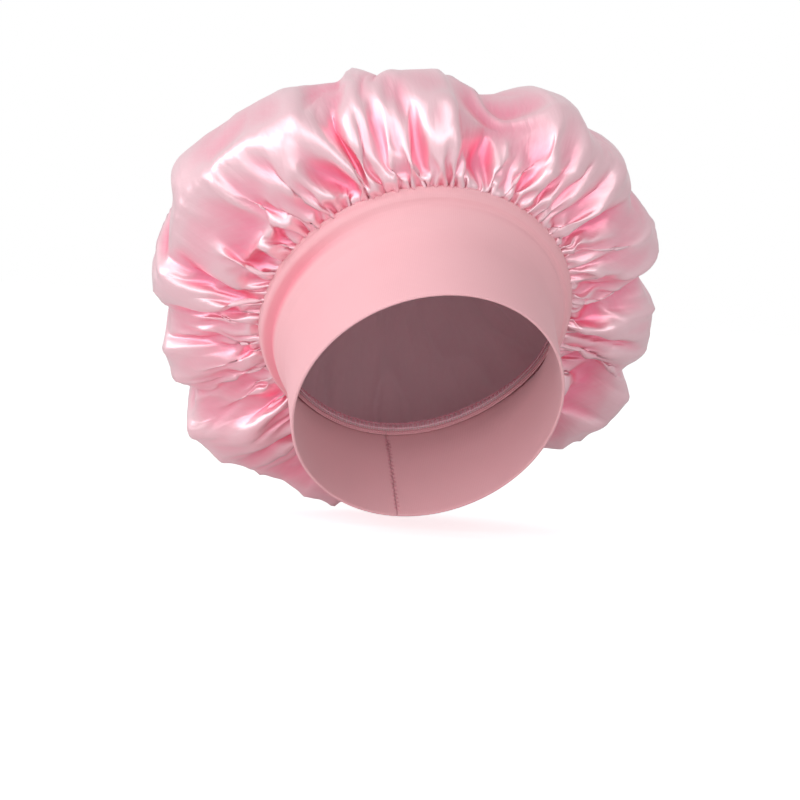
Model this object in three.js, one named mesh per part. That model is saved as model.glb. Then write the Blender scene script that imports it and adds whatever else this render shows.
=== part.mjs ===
// A satin sleep bonnet: a big round satin crown, gathered into a folded knit band.
// Lengths are in millimetres. The model is set as it is worn, +X to the side, +Y towards
// the nape and +Z up, with the origin at the centre of the head opening. Its pieces are
// made upright on the opening's plane, with +Z up the crown's axis and -Y at the
// forehead, and one group tilts them all.

import * as THREE from 'three';

// Head opening: an oval in the plane of the band's lower edge
const openingHalfWidth = 73.5;
const openingHalfLength = 88;
const wornTiltDegrees = 47;

// Knit band: one strip folded lengthwise, with its raw edges turned down inside
const knitThickness = 0.7;
const knitLayerGap = 0.3;
const bandRise = 68;
const bandFlare = 13.5;
const napeFlareRelief = 9.5;
const flareStartShare = 0.62;
const flarePower = 1.8;
const seamAllowance = 7;
const bandJoinGap = 0.3;

// Seam elastic, caught between the band's raw edges and the crown's edge
const elasticWidth = 5.5;
const elasticThickness = 0.7;
const elasticInset = 0.8;

// Sewing threads, with the distance of each row below the top of the seam
const threadDiameter = 0.5;
const gatherRowDrop = 0.8;
const gatherWave = 0.15;
const needleRowDrop = 1.75;
const overlockRowDrop = 2.7;
const joinZigzagHalfWidth = 1.6;
const joinZigzagPitch = 3;
const joinEndMargin = 2.5;

// Satin crown
const satinThickness = 0.8;
const crownHalfWidth = 146;
const crownHalfLength = 149;
const crownNapeShift = 12;
const crownWidestRise = 33;
const crownNapeDrop = 30;
const crownTopRise = 127;
const foldHeight = 6.5;

// Room between pieces that touch in the real bonnet
const seatClearance = 0.3;

// How finely the rings and threads are stepped. Each main fold of the crown has a ridge
// column, a side, a valley and a side.
const foldColumns = 4;
const bandRisingShares = [0, 0.35, 0.65, 0.8, 0.9, 1];
const bandTurnDegrees = [60, 120];
const flatFoldShare = 0.5;
const threadSides = 4;
const overlockSides = 3;
const joinThreadStepsPerPoint = 3;

// Where the overlock thread's corners come within one column
const overlockCornerShares = [0.04, 0.2, 0.3, 0.46, 0.54, 0.7, 0.8, 0.96];

// The crown's form, from its seam out to its widest ring and on to its top
const crownTurnDegrees = [70, 50];
const puffReachShares = [0.28, 0.62, 0.88, 1];
const puffRiseShares = [0.1, 0.28, 0.58, 1];
const puffFoldShares = [0.35, 0.75, 1, 1];
const domeReachShares = [0.95, 0.84, 0.66, 0.44, 0.2];
const domeRiseShares = [0.32, 0.55, 0.76, 0.91, 0.985];
const domeFoldShares = [0.8, 0.55, 0.35, 0.15, 0.05];

// The crown's main folds. Degrees run from +X round by the forehead. Each ridge has its
// height, and each valley, which follows its ridge, has its depth.
const ridgeDegrees = [0, 26, 45, 63, 93, 110, 130, 151, 174, 200, 228, 262, 298, 332];
const ridgeShares = [0.8, 1, 0.7, 1.2, 1.1, 1, 0.6, 1.3, 0.9, 0.8, 0.9, 0.8, 0.9, 0.8];
const valleyShares = [0.7, 0.8, 0.5, 2.2, -0.8, 0.3, 0.5, 0.7, 0.7, 0.8, 0.9, 0.8, 0.8, 0.7];
const foldSideShare = 0.1;

// How far the crown reaches out at each ridge
const reachShares = [0.99, 0.99, 1, 1.02, 1, 1.01, 1.06, 1.09, 1, 0.97, 1.05, 1.03, 1.01, 1.07];

// The knit strip is worked out along the line between its two layers
const foldRadius = knitThickness + knitLayerGap / 2;
const threadRadius = threadDiameter / 2;
const turnRadius = foldRadius + seatClearance + threadRadius;
const strandRise = bandRise - foldRadius;

// How deep each layer of the seam lies, measured inwards from that line
const elasticDepth = turnRadius * 2 + foldRadius + seatClearance + elasticThickness / 2;
const satinDepth = elasticDepth + elasticThickness / 2 + seatClearance + satinThickness / 2;
const threadDepth = satinDepth + satinThickness / 2 + seatClearance + threadRadius;

const finishes = {
  satin: { color: '#f4b4c4', roughness: 0.35, metalness: 0 },
  knit: { color: '#f6bfc8', roughness: 0.85, metalness: 0 },
  elastic: { color: '#f7e3e4', roughness: 0.8, metalness: 0 },
  thread: { color: '#f2a9b9', roughness: 0.6, metalness: 0 },
};

const ringColumns = ridgeDegrees.length * foldColumns;
const nape = (ringColumns * 3) / 4;

// Section points have x as the distance out from the opening's oval, y as the height and
// z as the share of the flare that they have taken
function bandLine(share) {
  const flared = Math.max(0, (share - flareStartShare) / (1 - flareStartShare));
  const flareShare = flared ** flarePower;
  const height = foldRadius + strandRise * share;
  const point = new THREE.Vector3(foldRadius + bandFlare * flareShare, height, flareShare);
  const slope = bandFlare * flarePower * flared ** (flarePower - 1);
  const along = new THREE.Vector3(slope / (1 - flareStartShare), strandRise, 0).normalize();
  const inward = new THREE.Vector3(-along.y, along.x, 0);
  return { point, along, inward };
}

const seamTop = bandLine(1);
const seamTopLength = strandRise / seamTop.along.y;

function shareBelowSeam(drop) {
  return 1 - drop / seamTopLength;
}

function seamPoint(drop, depth) {
  const { point, inward } = bandLine(shareBelowSeam(drop));
  return point.clone().addScaledVector(inward, depth);
}

const turnCentre = seamPoint(0, turnRadius);

// A point around the centre of the band's turned top edge: 90 degrees is the head side
function aroundTurn(degrees, radius) {
  const angle = THREE.MathUtils.degToRad(degrees);
  return turnCentre
    .clone()
    .addScaledVector(seamTop.along, Math.cos(angle) * radius)
    .addScaledVector(seamTop.inward, Math.sin(angle) * radius);
}

// Behind the ears the band flares less, down to its least at the nape
function ringCorner(column, section) {
  const angle = (column / ringColumns) * Math.PI * 2;
  const relief = napeFlareRelief * THREE.MathUtils.smoothstep(-Math.sin(angle), 0, 1);
  const outward = new THREE.Vector2(
    openingHalfLength * Math.cos(angle),
    -openingHalfWidth * Math.sin(angle),
  ).normalize();
  return new THREE.Vector2(
    openingHalfWidth * Math.cos(angle),
    -openingHalfLength * Math.sin(angle),
  ).addScaledVector(outward, section.x - relief * section.z);
}

// Between two columns a point lies on the straight line that joins them
function ringPoint(column, section) {
  const whole = Math.floor(column);
  const corner = ringCorner(whole, section);
  corner.lerp(ringCorner(whole + 1, section), column - whole);
  return new THREE.Vector3(corner.x, corner.y, section.y);
}

function geometryOf(points, triangles) {
  const geometry = new THREE.BufferGeometry();
  geometry.setAttribute('position', new THREE.Float32BufferAttribute(points.flatMap((p) => [...p]), 3));
  let volume = 0;
  for (const [a, b, c] of triangles) {
    volume += points[a].dot(new THREE.Vector3().crossVectors(points[b], points[c]));
  }
  const facingOut = volume > 0 ? triangles : triangles.map(([a, b, c]) => [a, c, b]);
  geometry.setIndex(facingOut.flat());
  geometry.computeVertexNormals();
  return geometry;
}

// Triangles between two rows of points. A closed row joins its last point to its first.
function strip(rowA, rowB, closed) {
  const triangles = [];
  const steps = closed ? rowA.length : rowA.length - 1;
  for (let i = 0; i < steps; i += 1) {
    const j = (i + 1) % rowA.length;
    triangles.push([rowA[i], rowA[j], rowB[j]], [rowA[i], rowB[j], rowB[i]]);
  }
  return triangles;
}

function rowOf(start, length) {
  return Array.from({ length }, (_, i) => start + i);
}

// Sweeps a closed section round the opening, through every given column
function ringBody(outline, columns, closed) {
  const section = THREE.ShapeUtils.isClockWise(outline) ? outline.toReversed() : outline;
  const points = columns.flatMap((column) => section.map((corner) => ringPoint(column, corner)));
  const rows = columns.map((_, i) => rowOf(i * section.length, section.length));
  const triangles = [];
  const steps = closed ? rows.length : rows.length - 1;
  for (let i = 0; i < steps; i += 1) {
    triangles.push(...strip(rows[i], rows[(i + 1) % rows.length], true));
  }
  if (!closed) {
    const last = rows[rows.length - 1][0];
    for (const [a, b, c] of THREE.ShapeUtils.triangulateShape(section, [])) {
      triangles.push([a, c, b], [last + a, last + b, last + c]);
    }
  }
  return geometryOf(points, triangles);
}

// A thread whose ends meet, swept through its points with a section of a few sides
function threadLoop(path, sides) {
  const count = path.length;
  const tangents = path.map((point, i) => {
    const before = point.clone().sub(path[(i + count - 1) % count]).normalize();
    const after = path[(i + 1) % count].clone().sub(point).normalize();
    return before.add(after).normalize();
  });
  const across = (normal, tangent) => {
    return normal.clone().addScaledVector(tangent, -normal.dot(tangent)).normalize();
  };
  const normals = [across(new THREE.Vector3(0, 0, 1), tangents[0])];
  for (let i = 1; i < count; i += 1) {
    normals.push(across(normals[i - 1], tangents[i]));
  }
  const closing = across(normals[count - 1], tangents[0]);
  const side = new THREE.Vector3().crossVectors(tangents[0], normals[0]);
  const twist = Math.atan2(closing.dot(side), closing.dot(normals[0]));
  const points = path.flatMap((point, i) => {
    const normal = normals[i].clone().applyAxisAngle(tangents[i], (-twist * i) / count);
    return rowOf(0, sides).map((corner) => {
      const turned = normal.clone().applyAxisAngle(tangents[i], (corner / sides) * Math.PI * 2);
      return point.clone().addScaledVector(turned, threadRadius);
    });
  });
  const rows = path.map((_, i) => rowOf(i * sides, sides));
  return geometryOf(points, rows.flatMap((row, i) => strip(row, rows[(i + 1) % count], true)));
}

const closedRing = rowOf(0, ringColumns);

// The strip's line rises from the fold, turns over at the seam and comes down inside
function bandGeometry() {
  const line = bandRisingShares.map((share) => {
    const { point, inward } = bandLine(share);
    return { point, inward };
  });
  for (const degrees of bandTurnDegrees) {
    const point = aroundTurn(degrees - 90, turnRadius);
    line.push({ point, inward: turnCentre.clone().sub(point).normalize() });
  }
  for (const drop of [0, seamAllowance]) {
    const { inward } = bandLine(shareBelowSeam(drop));
    line.push({ point: seamPoint(drop, turnRadius * 2), inward: inward.clone().negate() });
  }
  const layer = (depth) => line.map(({ point, inward }) => point.clone().addScaledVector(inward, depth));
  const flat = foldRadius * flatFoldShare;
  const section = [
    ...layer(-foldRadius).reverse(),
    new THREE.Vector3(foldRadius + flat, 0, 0),
    new THREE.Vector3(foldRadius - flat, 0, 0),
    ...layer(foldRadius),
    ...layer(knitLayerGap / 2).reverse(),
    ...layer(-knitLayerGap / 2),
  ];
  const pitch = ringPoint(nape, bandLine(0).point).distanceTo(ringPoint(nape + 1, bandLine(0).point));
  const halfGap = bandJoinGap / 2 / pitch;
  const between = rowOf(nape + 1, ringColumns - 1);
  return ringBody(section, [nape + halfGap, ...between, nape + ringColumns - halfGap], false);
}

function elasticGeometry() {
  const drops = [elasticInset, elasticInset + elasticWidth / 2, elasticInset + elasticWidth];
  const face = (depth) => drops.map((drop) => seamPoint(drop, depth));
  const section = [
    ...face(elasticDepth - elasticThickness / 2),
    ...face(elasticDepth + elasticThickness / 2).reverse(),
  ];
  return ringBody(section, closedRing, true);
}

// A running thread that lies along the seam and swings once to each side in a column
function runningThreadGeometry(drop, wave) {
  const path = rowOf(0, ringColumns * 2).map((i) => {
    const swing = i % 2 ? wave : -wave;
    return ringPoint(i / 2, seamPoint(drop + swing, threadDepth));
  });
  return threadLoop(path, threadSides);
}

// The overlock thread climbs to its row on the head side, wraps the raw edges, climbs
// to its row between the two layers of the turned band, and wraps back again
function overlockGeometry() {
  const edgeDrop = seamAllowance + seatClearance + threadRadius;
  const corners = [
    seamPoint(edgeDrop, threadDepth),
    seamPoint(overlockRowDrop, threadDepth),
    seamPoint(overlockRowDrop, threadDepth),
    seamPoint(edgeDrop, threadDepth),
    seamPoint(edgeDrop, turnRadius),
    seamPoint(overlockRowDrop, turnRadius),
    seamPoint(overlockRowDrop, turnRadius),
    seamPoint(edgeDrop, turnRadius),
  ];
  const path = closedRing.flatMap((column) =>
    corners.map((corner, i) => ringPoint(column + overlockCornerShares[i], corner)),
  );
  return threadLoop(path, overlockSides);
}

// The zigzag that joins the strip's ends, on the head side of the band at the nape
function joinThreadGeometry() {
  const depth = foldRadius + seatClearance + threadRadius;
  const drop = seamAllowance + seatClearance * 2 + threadDiameter + joinEndMargin;
  const lowShare = joinEndMargin / strandRise;
  const highShare = shareBelowSeam(drop);
  const low = bandLine(lowShare).point;
  const pitch = ringPoint(nape, low).distanceTo(ringPoint(nape + 1, low));
  const count = Math.round(((highShare - lowShare) * strandRise) / joinZigzagPitch) * 2;
  const points = rowOf(0, count + 1).map((i) => {
    const { point, inward } = bandLine(THREE.MathUtils.lerp(lowShare, highShare, i / count));
    const swing = ((i % 2 ? 1 : -1) * joinZigzagHalfWidth) / pitch;
    return ringPoint(nape + swing, point.clone().addScaledVector(inward, depth));
  });
  const circle = new THREE.Shape().absarc(0, 0, threadRadius, 0, Math.PI * 2);
  return new THREE.ExtrudeGeometry(circle, {
    curveSegments: threadSides,
    steps: count * joinThreadStepsPerPoint,
    extrudePath: new THREE.CatmullRomCurve3(points, false, 'centripetal'),
  });
}

// The angle, the height share and the reach share of each column once the gathers have
// become main folds
function foldAt(column) {
  const fold = Math.floor(column / foldColumns);
  const step = column % foldColumns;
  const next = (fold + 1) % ridgeDegrees.length;
  const nextDegrees = next ? ridgeDegrees[next] : ridgeDegrees[0] + 360;
  const degrees = THREE.MathUtils.lerp(ridgeDegrees[fold], nextDegrees, step / foldColumns);
  const side = (ridge) => (ridgeShares[ridge] - valleyShares[fold]) / 2 - foldSideShare;
  const heights = [ridgeShares[fold], side(fold), -valleyShares[fold], side(next)];
  const reach = THREE.MathUtils.lerp(reachShares[fold], reachShares[next], step / foldColumns);
  return { angle: THREE.MathUtils.degToRad(degrees), height: heights[step], reach };
}

// One ring of the crown for each station, from its raw edge up and out to near its top
function crownRings() {
  const innerRadius = satinDepth - turnRadius;
  const outerRadius = turnRadius + foldRadius + seatClearance + satinThickness / 2;
  const seamSections = [seamPoint(seamAllowance, satinDepth), seamPoint(0, satinDepth)];
  for (const [i, degrees] of crownTurnDegrees.entries()) {
    const share = (i + 1) / crownTurnDegrees.length;
    seamSections.push(aroundTurn(degrees, THREE.MathUtils.lerp(innerRadius, outerRadius, share)));
  }
  const rings = seamSections.map((section) => ({
    foldShare: 0,
    points: closedRing.map((column) => ringPoint(column, section)),
  }));
  const start = seamSections[seamSections.length - 1];
  const widest = (column) => {
    const { angle, reach } = foldAt(column);
    const across = crownHalfWidth * reach * Math.cos(angle);
    const forward = crownHalfLength * reach * Math.sin(angle);
    const rise = crownWidestRise - (crownNapeDrop * (1 - Math.sin(angle))) / 2;
    return new THREE.Vector3(across, crownNapeShift - forward, rise);
  };
  for (const [i, reach] of puffReachShares.entries()) {
    const points = closedRing.map((column) => {
      const end = widest(column);
      const point = ringPoint(column, start).lerp(end, reach);
      return point.setZ(start.y + end.z * puffRiseShares[i]);
    });
    rings.push({ foldShare: puffFoldShares[i], points });
  }
  for (const [i, reach] of domeReachShares.entries()) {
    const points = closedRing.map((column) => {
      const end = widest(column);
      const height = THREE.MathUtils.lerp(end.z, crownTopRise, domeRiseShares[i]);
      return new THREE.Vector3(0, crownNapeShift, 0).lerp(end, reach).setZ(start.y + height);
    });
    rings.push({ foldShare: domeFoldShares[i], points });
  }
  return { rings, top: new THREE.Vector3(0, crownNapeShift, start.y + crownTopRise) };
}

// Directions square to the cloth at every point of its rings, towards its right side
function clothNormals(rows, top) {
  return rows.map((row, r) =>
    row.map((point, c) => {
      const below = rows[Math.max(0, r - 1)][c];
      const above = rows[r + 1]?.[c] ?? top;
      const before = row[(c + ringColumns - 1) % ringColumns];
      const after = row[(c + 1) % ringColumns];
      const upward = above.clone().sub(below);
      return after.clone().sub(before).cross(upward).normalize().negate();
    }),
  );
}

function crownGeometry() {
  const { rings, top } = crownRings();
  const smooth = rings.map(({ points }) => points);
  const smoothNormals = clothNormals(smooth, top);
  const folded = rings.map(({ points, foldShare }, r) =>
    points.map((point, c) => {
      const height = foldHeight * foldShare * foldAt(c).height;
      return point.clone().addScaledVector(smoothNormals[r][c], height);
    }),
  );
  const normals = clothNormals(folded, top);
  const upward = new THREE.Vector3(0, 0, 1);
  const face = (depth) => [
    ...folded.flatMap((row, r) => row.map((point, c) => point.clone().addScaledVector(normals[r][c], depth))),
    top.clone().addScaledVector(upward, depth),
  ];
  const outside = face(satinThickness / 2);
  const points = [...outside, ...face(-satinThickness / 2)];
  const triangles = [];
  for (const [start, flipped] of [[0, false], [outside.length, true]]) {
    const rows = folded.map((_, r) => rowOf(start + r * ringColumns, ringColumns));
    const peak = start + outside.length - 1;
    const faces = rows.slice(1).flatMap((row, r) => strip(rows[r], row, true));
    for (const [i, corner] of rows[rows.length - 1].entries()) {
      faces.push([corner, rows[rows.length - 1][(i + 1) % ringColumns], peak]);
    }
    triangles.push(...(flipped ? faces.map(([a, b, c]) => [a, c, b]) : faces));
  }
  triangles.push(...strip(rowOf(outside.length, ringColumns), closedRing, true));
  return geometryOf(points, triangles);
}

function piece(name, geometry, finish) {
  const mesh = new THREE.Mesh(geometry, new THREE.MeshStandardMaterial(finish));
  mesh.name = name;
  return mesh;
}

const bonnet = new THREE.Group();
bonnet.rotation.x = -THREE.MathUtils.degToRad(wornTiltDegrees);
bonnet.add(
  piece('crown', crownGeometry(), finishes.satin),
  piece('band', bandGeometry(), finishes.knit),
  piece('seam_elastic', elasticGeometry(), finishes.elastic),
  piece('gathering_thread', runningThreadGeometry(gatherRowDrop, gatherWave), finishes.thread),
  piece('seam_needle_thread', runningThreadGeometry(needleRowDrop, 0), finishes.thread),
  piece('overlock_thread', overlockGeometry(), finishes.thread),
  piece('band_join_thread', joinThreadGeometry(), finishes.thread),
);

const model = new THREE.Group();
model.add(bonnet);
export default model;
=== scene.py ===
"""A satin sleep bonnet: a big round satin crown gathered into a folded knit band.

Lengths are in metres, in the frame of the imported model. The pieces are worked out upright
on the opening's plane, with +Z up the crown's axis and -Y at the front, and are then
tilted as the bonnet is worn.
"""
import math

import bpy
import numpy as np
from bpy.props import FloatProperty, FloatVectorProperty, IntProperty, PointerProperty
from bpy.types import Operator, Panel, PropertyGroup
from mathutils import Matrix, Vector


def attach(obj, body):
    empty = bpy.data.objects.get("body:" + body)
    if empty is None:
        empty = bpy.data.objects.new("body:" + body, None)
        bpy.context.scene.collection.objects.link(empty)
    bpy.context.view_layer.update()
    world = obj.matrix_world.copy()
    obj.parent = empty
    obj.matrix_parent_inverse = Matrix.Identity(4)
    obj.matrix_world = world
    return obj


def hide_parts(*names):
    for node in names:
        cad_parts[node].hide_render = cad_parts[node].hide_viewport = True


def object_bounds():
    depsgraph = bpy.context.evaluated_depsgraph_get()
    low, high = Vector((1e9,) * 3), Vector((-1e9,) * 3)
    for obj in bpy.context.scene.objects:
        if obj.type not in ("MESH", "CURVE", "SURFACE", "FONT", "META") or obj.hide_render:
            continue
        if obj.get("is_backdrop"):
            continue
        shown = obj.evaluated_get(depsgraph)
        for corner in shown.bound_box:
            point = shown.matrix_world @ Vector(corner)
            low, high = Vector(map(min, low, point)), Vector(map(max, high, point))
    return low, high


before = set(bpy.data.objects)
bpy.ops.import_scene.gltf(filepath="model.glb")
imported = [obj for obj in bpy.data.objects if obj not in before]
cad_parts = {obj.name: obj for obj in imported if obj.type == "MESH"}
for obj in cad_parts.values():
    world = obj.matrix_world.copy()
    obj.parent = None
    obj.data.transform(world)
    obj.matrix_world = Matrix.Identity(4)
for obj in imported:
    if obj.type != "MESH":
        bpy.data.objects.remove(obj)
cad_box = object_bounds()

bl_info = {
    "name": "Satin sleep bonnet",
    "version": (1, 0, 0),
    "blender": (4, 5, 0),
    "location": "View3D > Sidebar > Bonnet",
    "description": "Dresses the packed bonnet in satin, knit, elastic and thread",
    "category": "Object",
}

MM = 0.001
TURN = math.pi * 2
NAPE = TURN * 3 / 4

# The camera stands where the photograph was taken from. Degrees, millimetres and pixels.
CAMERA_AZIMUTH = -12
CAMERA_RISE = 3
CAMERA_ROLL = 4
CAMERA_DISTANCE = 1600
CAMERA_RIGHT = -15.4
CAMERA_UP = 5.5
FOCAL_PIXELS = 2909
FRAME_PIXELS = 800

# Soft boxes, matched: above left in front, low at the left, and one from the front.
# Each has its place and size in metres and its power in watts.
LAMPS = (("key_lamp", (-1.4, -1.0, 0.95), 3.0, 14),
         ("left_lamp", (-2.0, -0.7, 0.1), 2.6, 26),
         ("front_lamp", (0.1, -1.7, 0.1), 1.6, 9))
LAMP_AIM = (0, 0.05, 0.05)

# How bright the surround is to other rays and to reflections, and at its left and right
SURROUND_LEVELS = (0.6, 0.86)
SURROUND_SIDES = (1.1, 0.7)

# The crown's main folds, which lie where the part's source has them. Degrees run from +X
# round by the front. Each ridge has its height, and each valley, which follows it, its depth.
RIDGE_DEGREES = [0, 26, 45, 63, 93, 110, 130, 151, 174, 200, 228, 262, 298, 332]
RIDGE_SHARES = [0.8, 1, 0.7, 1.2, 1.1, 1, 0.6, 1.3, 0.9, 0.8, 0.9, 0.8, 0.9, 0.8]
VALLEY_SHARES = [0.7, 0.8, 0.5, 2.8, -0.8, 0.3, 0.5, 0.7, 0.7, 0.8, 0.9, 0.8, 0.8, 0.7]

# How much narrower a main fold's crest is than its valley: 1 makes them alike
RIDGE_POWER = 1.3

# How far the crown reaches out at each ridge, as a share of its half width and length
REACH_SHARES = [0.98, 0.98, 1, 1.02, 1, 1.01, 1.06, 1.1, 0.99, 0.94, 1.04, 1.03, 1.01, 1.09]

# How much more cloth the crown holds than the smooth form under it, by the distance in
# millimetres from the seam: nearly all of it is gathered close to the seam
CLOTH_DISTANCES = [0, 15, 30, 50, 80, 120, 170, 267]
CLOTH_SHARES = [2.3, 1.85, 1.42, 1.18, 1.06, 1.03, 1.01, 1.0]

# Heights of the main folds by the same distance
MAIN_FOLD_DISTANCES = [0, 12, 35, 60, 100, 130, 170, 220, 270]
MAIN_FOLD_SHARES = [0, 0.15, 0.6, 1, 1, 0.9, 0.6, 0.25, 0]

# How the rest of the cloth is shared between fine, middle and broad gathers, by the same
# distance
FINE_GATHERS = ([0, 4, 12, 22], [1, 0.85, 0.3, 0])
MIDDLE_GATHERS = ([0, 5, 14, 30, 50, 70], [0, 0.2, 0.8, 0.5, 0.1, 0])
BROAD_GATHERS = ([0, 15, 30, 60, 100, 150], [0, 0.1, 0.5, 1, 1, 0.6])

# Where the cut cloth starts before it is gathered. Millimetres.
CUT_PLACE = (0, 32, 20)

# The cloth in the simulation, stiff enough for its mass that it keeps long folds
CLOTH_SETTINGS = {
    "quality": 5, "mass": 0.001, "tension_stiffness": 200, "compression_stiffness": 200,
    "shear_stiffness": 50, "bending_stiffness": 4, "tension_damping": 0.5,
    "compression_damping": 0.5, "shear_damping": 0.5, "bending_damping": 0.05,
    "air_damping": 0.1, "use_pressure": True,
}
# Frames and values: the cloth is gathered, then let go and puffed out
GATHERED_KEYS = ((1, 0), (12, 1))
LET_GO_FRAMES = (15, 18)
LET_GO_SETTINGS = {"pin_stiffness": (50, 0.05), "uniform_pressure_force": (0, 60)}
LAST_FRAME = 48
# How firmly the cloth is held away from the seam, where 1 is the seam
INNER_HOLD = 0.5

# How far folds are drawn out along their run, in rings of cloth, how much of that takes
# place at which ring from the seam, and how many rings on each side have a say
FOLD_SPREAD = 2.0
SPREAD_RINGS = ([1, 5, 12], [0, 0.3, 1])
SPREAD_REACH = 9

# How many rounds of evening give the cloth without its folds
EVENING_ROUNDS = 60

# Crests are pinched: how sharp they get (1 leaves them round), how far away crest and
# valley are looked for in steps of cloth, their least height and the most change in
# millimetres, how much every fold is raised, and the distance at which it starts
CREST_POWER = 0.6
CREST_STEPS = 7
CREST_LEAST = 0.3
CREST_MOST = 3
CREST_RAISE = 0.25
CREST_DISTANCES = [5, 16]

# Long creases over the crown: how many chance values lie round it and along its run, how
# far they stray, how wide and how round their crests are, the mean that is taken off, and
# their height in millimetres by the distance from the seam
CREASES_ROUND = 30
CREASES_ALONG = 6
CREASE_STRAY = 0.05
CREASE_WIDTH = 1.06
CREASE_ROUNDNESS = 0.002
CREASE_MEAN = 0.24
CREASE_DISTANCES = [12, 40, 150, 240]
CREASE_HEIGHTS = [0, 3.6, 3.2, 0]

# Fine pleats right beside the seam: their height in millimetres by the same distance
PLEAT_DISTANCES = [-2, 0.5, 2, 5, 9, 15]
PLEAT_HEIGHTS = [0, 0.7, 1.0, 0.8, 0.35, 0]

# Height of the pressed pleats in the turned allowance. Millimetres.
PRESSED_PLEAT = 0.25

# Painted shade: the satin's colour is mixed towards a deeper pink in its folds, standing in
# for light caught between them. How deep level cloth counts, and the depth in millimetres over which
# the colour changes
LEVEL_DEPTH = 0.45
DEPTH_RANGE = 5

# The raised lip over the sewn layers and the groove under it, on the band's outer side:
# millimetres below the seam and outwards
LIP_DROPS = [0, 1.2, 3.2, 5, 6.4, 8.6, 11, 14, 19, 26]
LIP_HEIGHTS = [0, 0.55, 0.75, 0.55, -0.35, -0.5, 0.25, 0.15, 0, 0]

# The same at the -X side, where the sewn layers lie doubled
SIDE_HEIGHTS = [0, 1.8, 2.9, 3.0, 2.7, 1.1, -0.5, 0.6, 1.0, 0]

# How much of the satin's pink light lies on the knit below the seam: all round, and in the
# deeper groove at the -X side. Millimetres below the seam.
GLOW_DROPS = [0, 4.5, 7.5, 12, 16]
GLOW_SHARES = [0.08, 0.08, 0.1, 0.05, 0]
SIDE_GLOW_SHARES = [0, 0.1, 0.65, 0.9, 0]

# How near the -X side counts, by how far an angle's place lies towards it, and how much
# closer to it the light keeps
SIDE_SLOPE = 1.3
SIDE_START = 0.15
GLOW_POWER = 4

# Room at the seam, in millimetres: in the band's turned edge, under the satin that goes
# round it, and under the threads
TURN_ROOM = 0.25
SATIN_ROOM = 0.4
THREAD_ROOM = 0.3

# Millimetres between the strip's two ends behind, which the zigzag joins
END_GAP = 0.3

# The threads, in millimetres: the gap between two stitches, their height, how deep they
# sink in, and how far the overlock loops stand past the raw edges. The gathering row's
# stitches are longer than the others by its share, and one overlock loop has its steps.
STITCH_GAP = 0.5
STITCH_LIFT = 0.3
STITCH_SINK = 0.1
OVERLOCK_PAST = 0.55
GATHERING_PITCH = 1.15
OVERLOCK_STEPS = 16

# The floor: its radius in metres, its steps, its distance below the bonnet in millimetres,
# and the light that keeps it white where it is seen
FLOOR_RADIUS = 6
FLOOR_STEPS = 96
FLOOR_DROP = 0.2
FLOOR_GLOW = 0.62


def linear(hex_colour):
    """Turn an sRGB hex colour into the linear colour that Blender's sockets take."""
    channels = [int(hex_colour[i:i + 2], 16) / 255 for i in (1, 3, 5)]
    return tuple(c / 12.92 if c <= 0.04045 else ((c + 0.055) / 1.055) ** 2.4 for c in channels)


def length_size(name, description, millimetres):
    """A length in the sidebar."""
    return FloatProperty(
        name=name, description=description, default=millimetres * MM, unit="LENGTH")


def cloth_colour(name, description, hex_colour):
    """A colour in the sidebar."""
    return FloatVectorProperty(
        name=name, description=description, subtype="COLOR", default=linear(hex_colour))


class BonnetBand(PropertyGroup):
    """Sizes of the head opening and of the knit band around it."""
    opening_half_width: length_size("Opening half width", "Half the opening, side to side", 73.5)
    opening_half_length: length_size("Opening half length", "Half of it, front to back", 88)
    tilt: FloatProperty(
        name="Worn tilt", description="How far the opening leans back as it is worn",
        default=math.radians(47), subtype="ANGLE")
    thickness: length_size("Knit thickness", "Thickness of one layer of the knit", 0.7)
    layer_gap: length_size("Layer gap", "Room between the folded strip's two layers", 0.3)
    rise: length_size("Band rise", "Height of the folded band up to the seam", 68)
    flare: length_size("Flare", "How far the band's top leans out", 13.5)
    nape_relief: length_size("Nape relief", "How much less the band leans out behind", 9.5)
    flare_start: FloatProperty(
        name="Flare start", description="Share of the rise at which the band leans out",
        default=0.62, subtype="FACTOR")
    flare_power: FloatProperty(
        name="Flare power", description="How suddenly the band leans out", default=1.8)
    allowance: length_size("Seam allowance", "Width of the layers turned down inside", 7)
    seat_clearance: length_size("Seat clearance", "Room between layers that touch", 0.3)
    lip: FloatProperty(
        name="Lip", description="How strongly the sewn layers show through the band",
        default=1.0, subtype="FACTOR")
    columns: IntProperty(
        name="Columns", description="Steps round the band", default=360, min=24)


class BonnetCrown(PropertyGroup):
    """Sizes of the satin crown and of the folds that its cloth is gathered into."""
    half_width: length_size("Half width", "Half of the crown, side to side", 150)
    half_length: length_size("Half length", "Half of the crown, front to back", 149)
    nape_shift: length_size("Nape shift", "How far its middle lies towards the nape", 12)
    widest_rise: length_size("Widest rise", "Height of the widest ring over the seam", 33)
    nape_drop: length_size("Nape drop", "How much lower the widest ring is behind", 30)
    top_rise: length_size("Top rise", "Height of the crown's top above the seam", 126)
    top_shift: length_size("Top shift", "How far the cloth's middle lies behind the top", 20)
    puff_power: FloatProperty(
        name="Puff power", description="How full the crown is beside the seam", default=1.75)
    cloth_length: FloatProperty(
        name="Cloth length", description="Cloth from the seam to the top, as a share",
        default=1.02)
    cloth_thickness: length_size("Satin thickness", "Thickness of the satin", 0.3)
    main_fold: length_size("Main fold", "Height of the crown's main folds", 9)
    broad_fold: length_size("Broad fold", "Most height of the folds between them", 4)
    pleats: IntProperty(
        name="Pleats", description="Fine pleats round the seam", default=180, min=0)
    rings: IntProperty(
        name="Rings", description="Rings of cloth from its middle to the seam",
        default=60, min=12)


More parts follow.
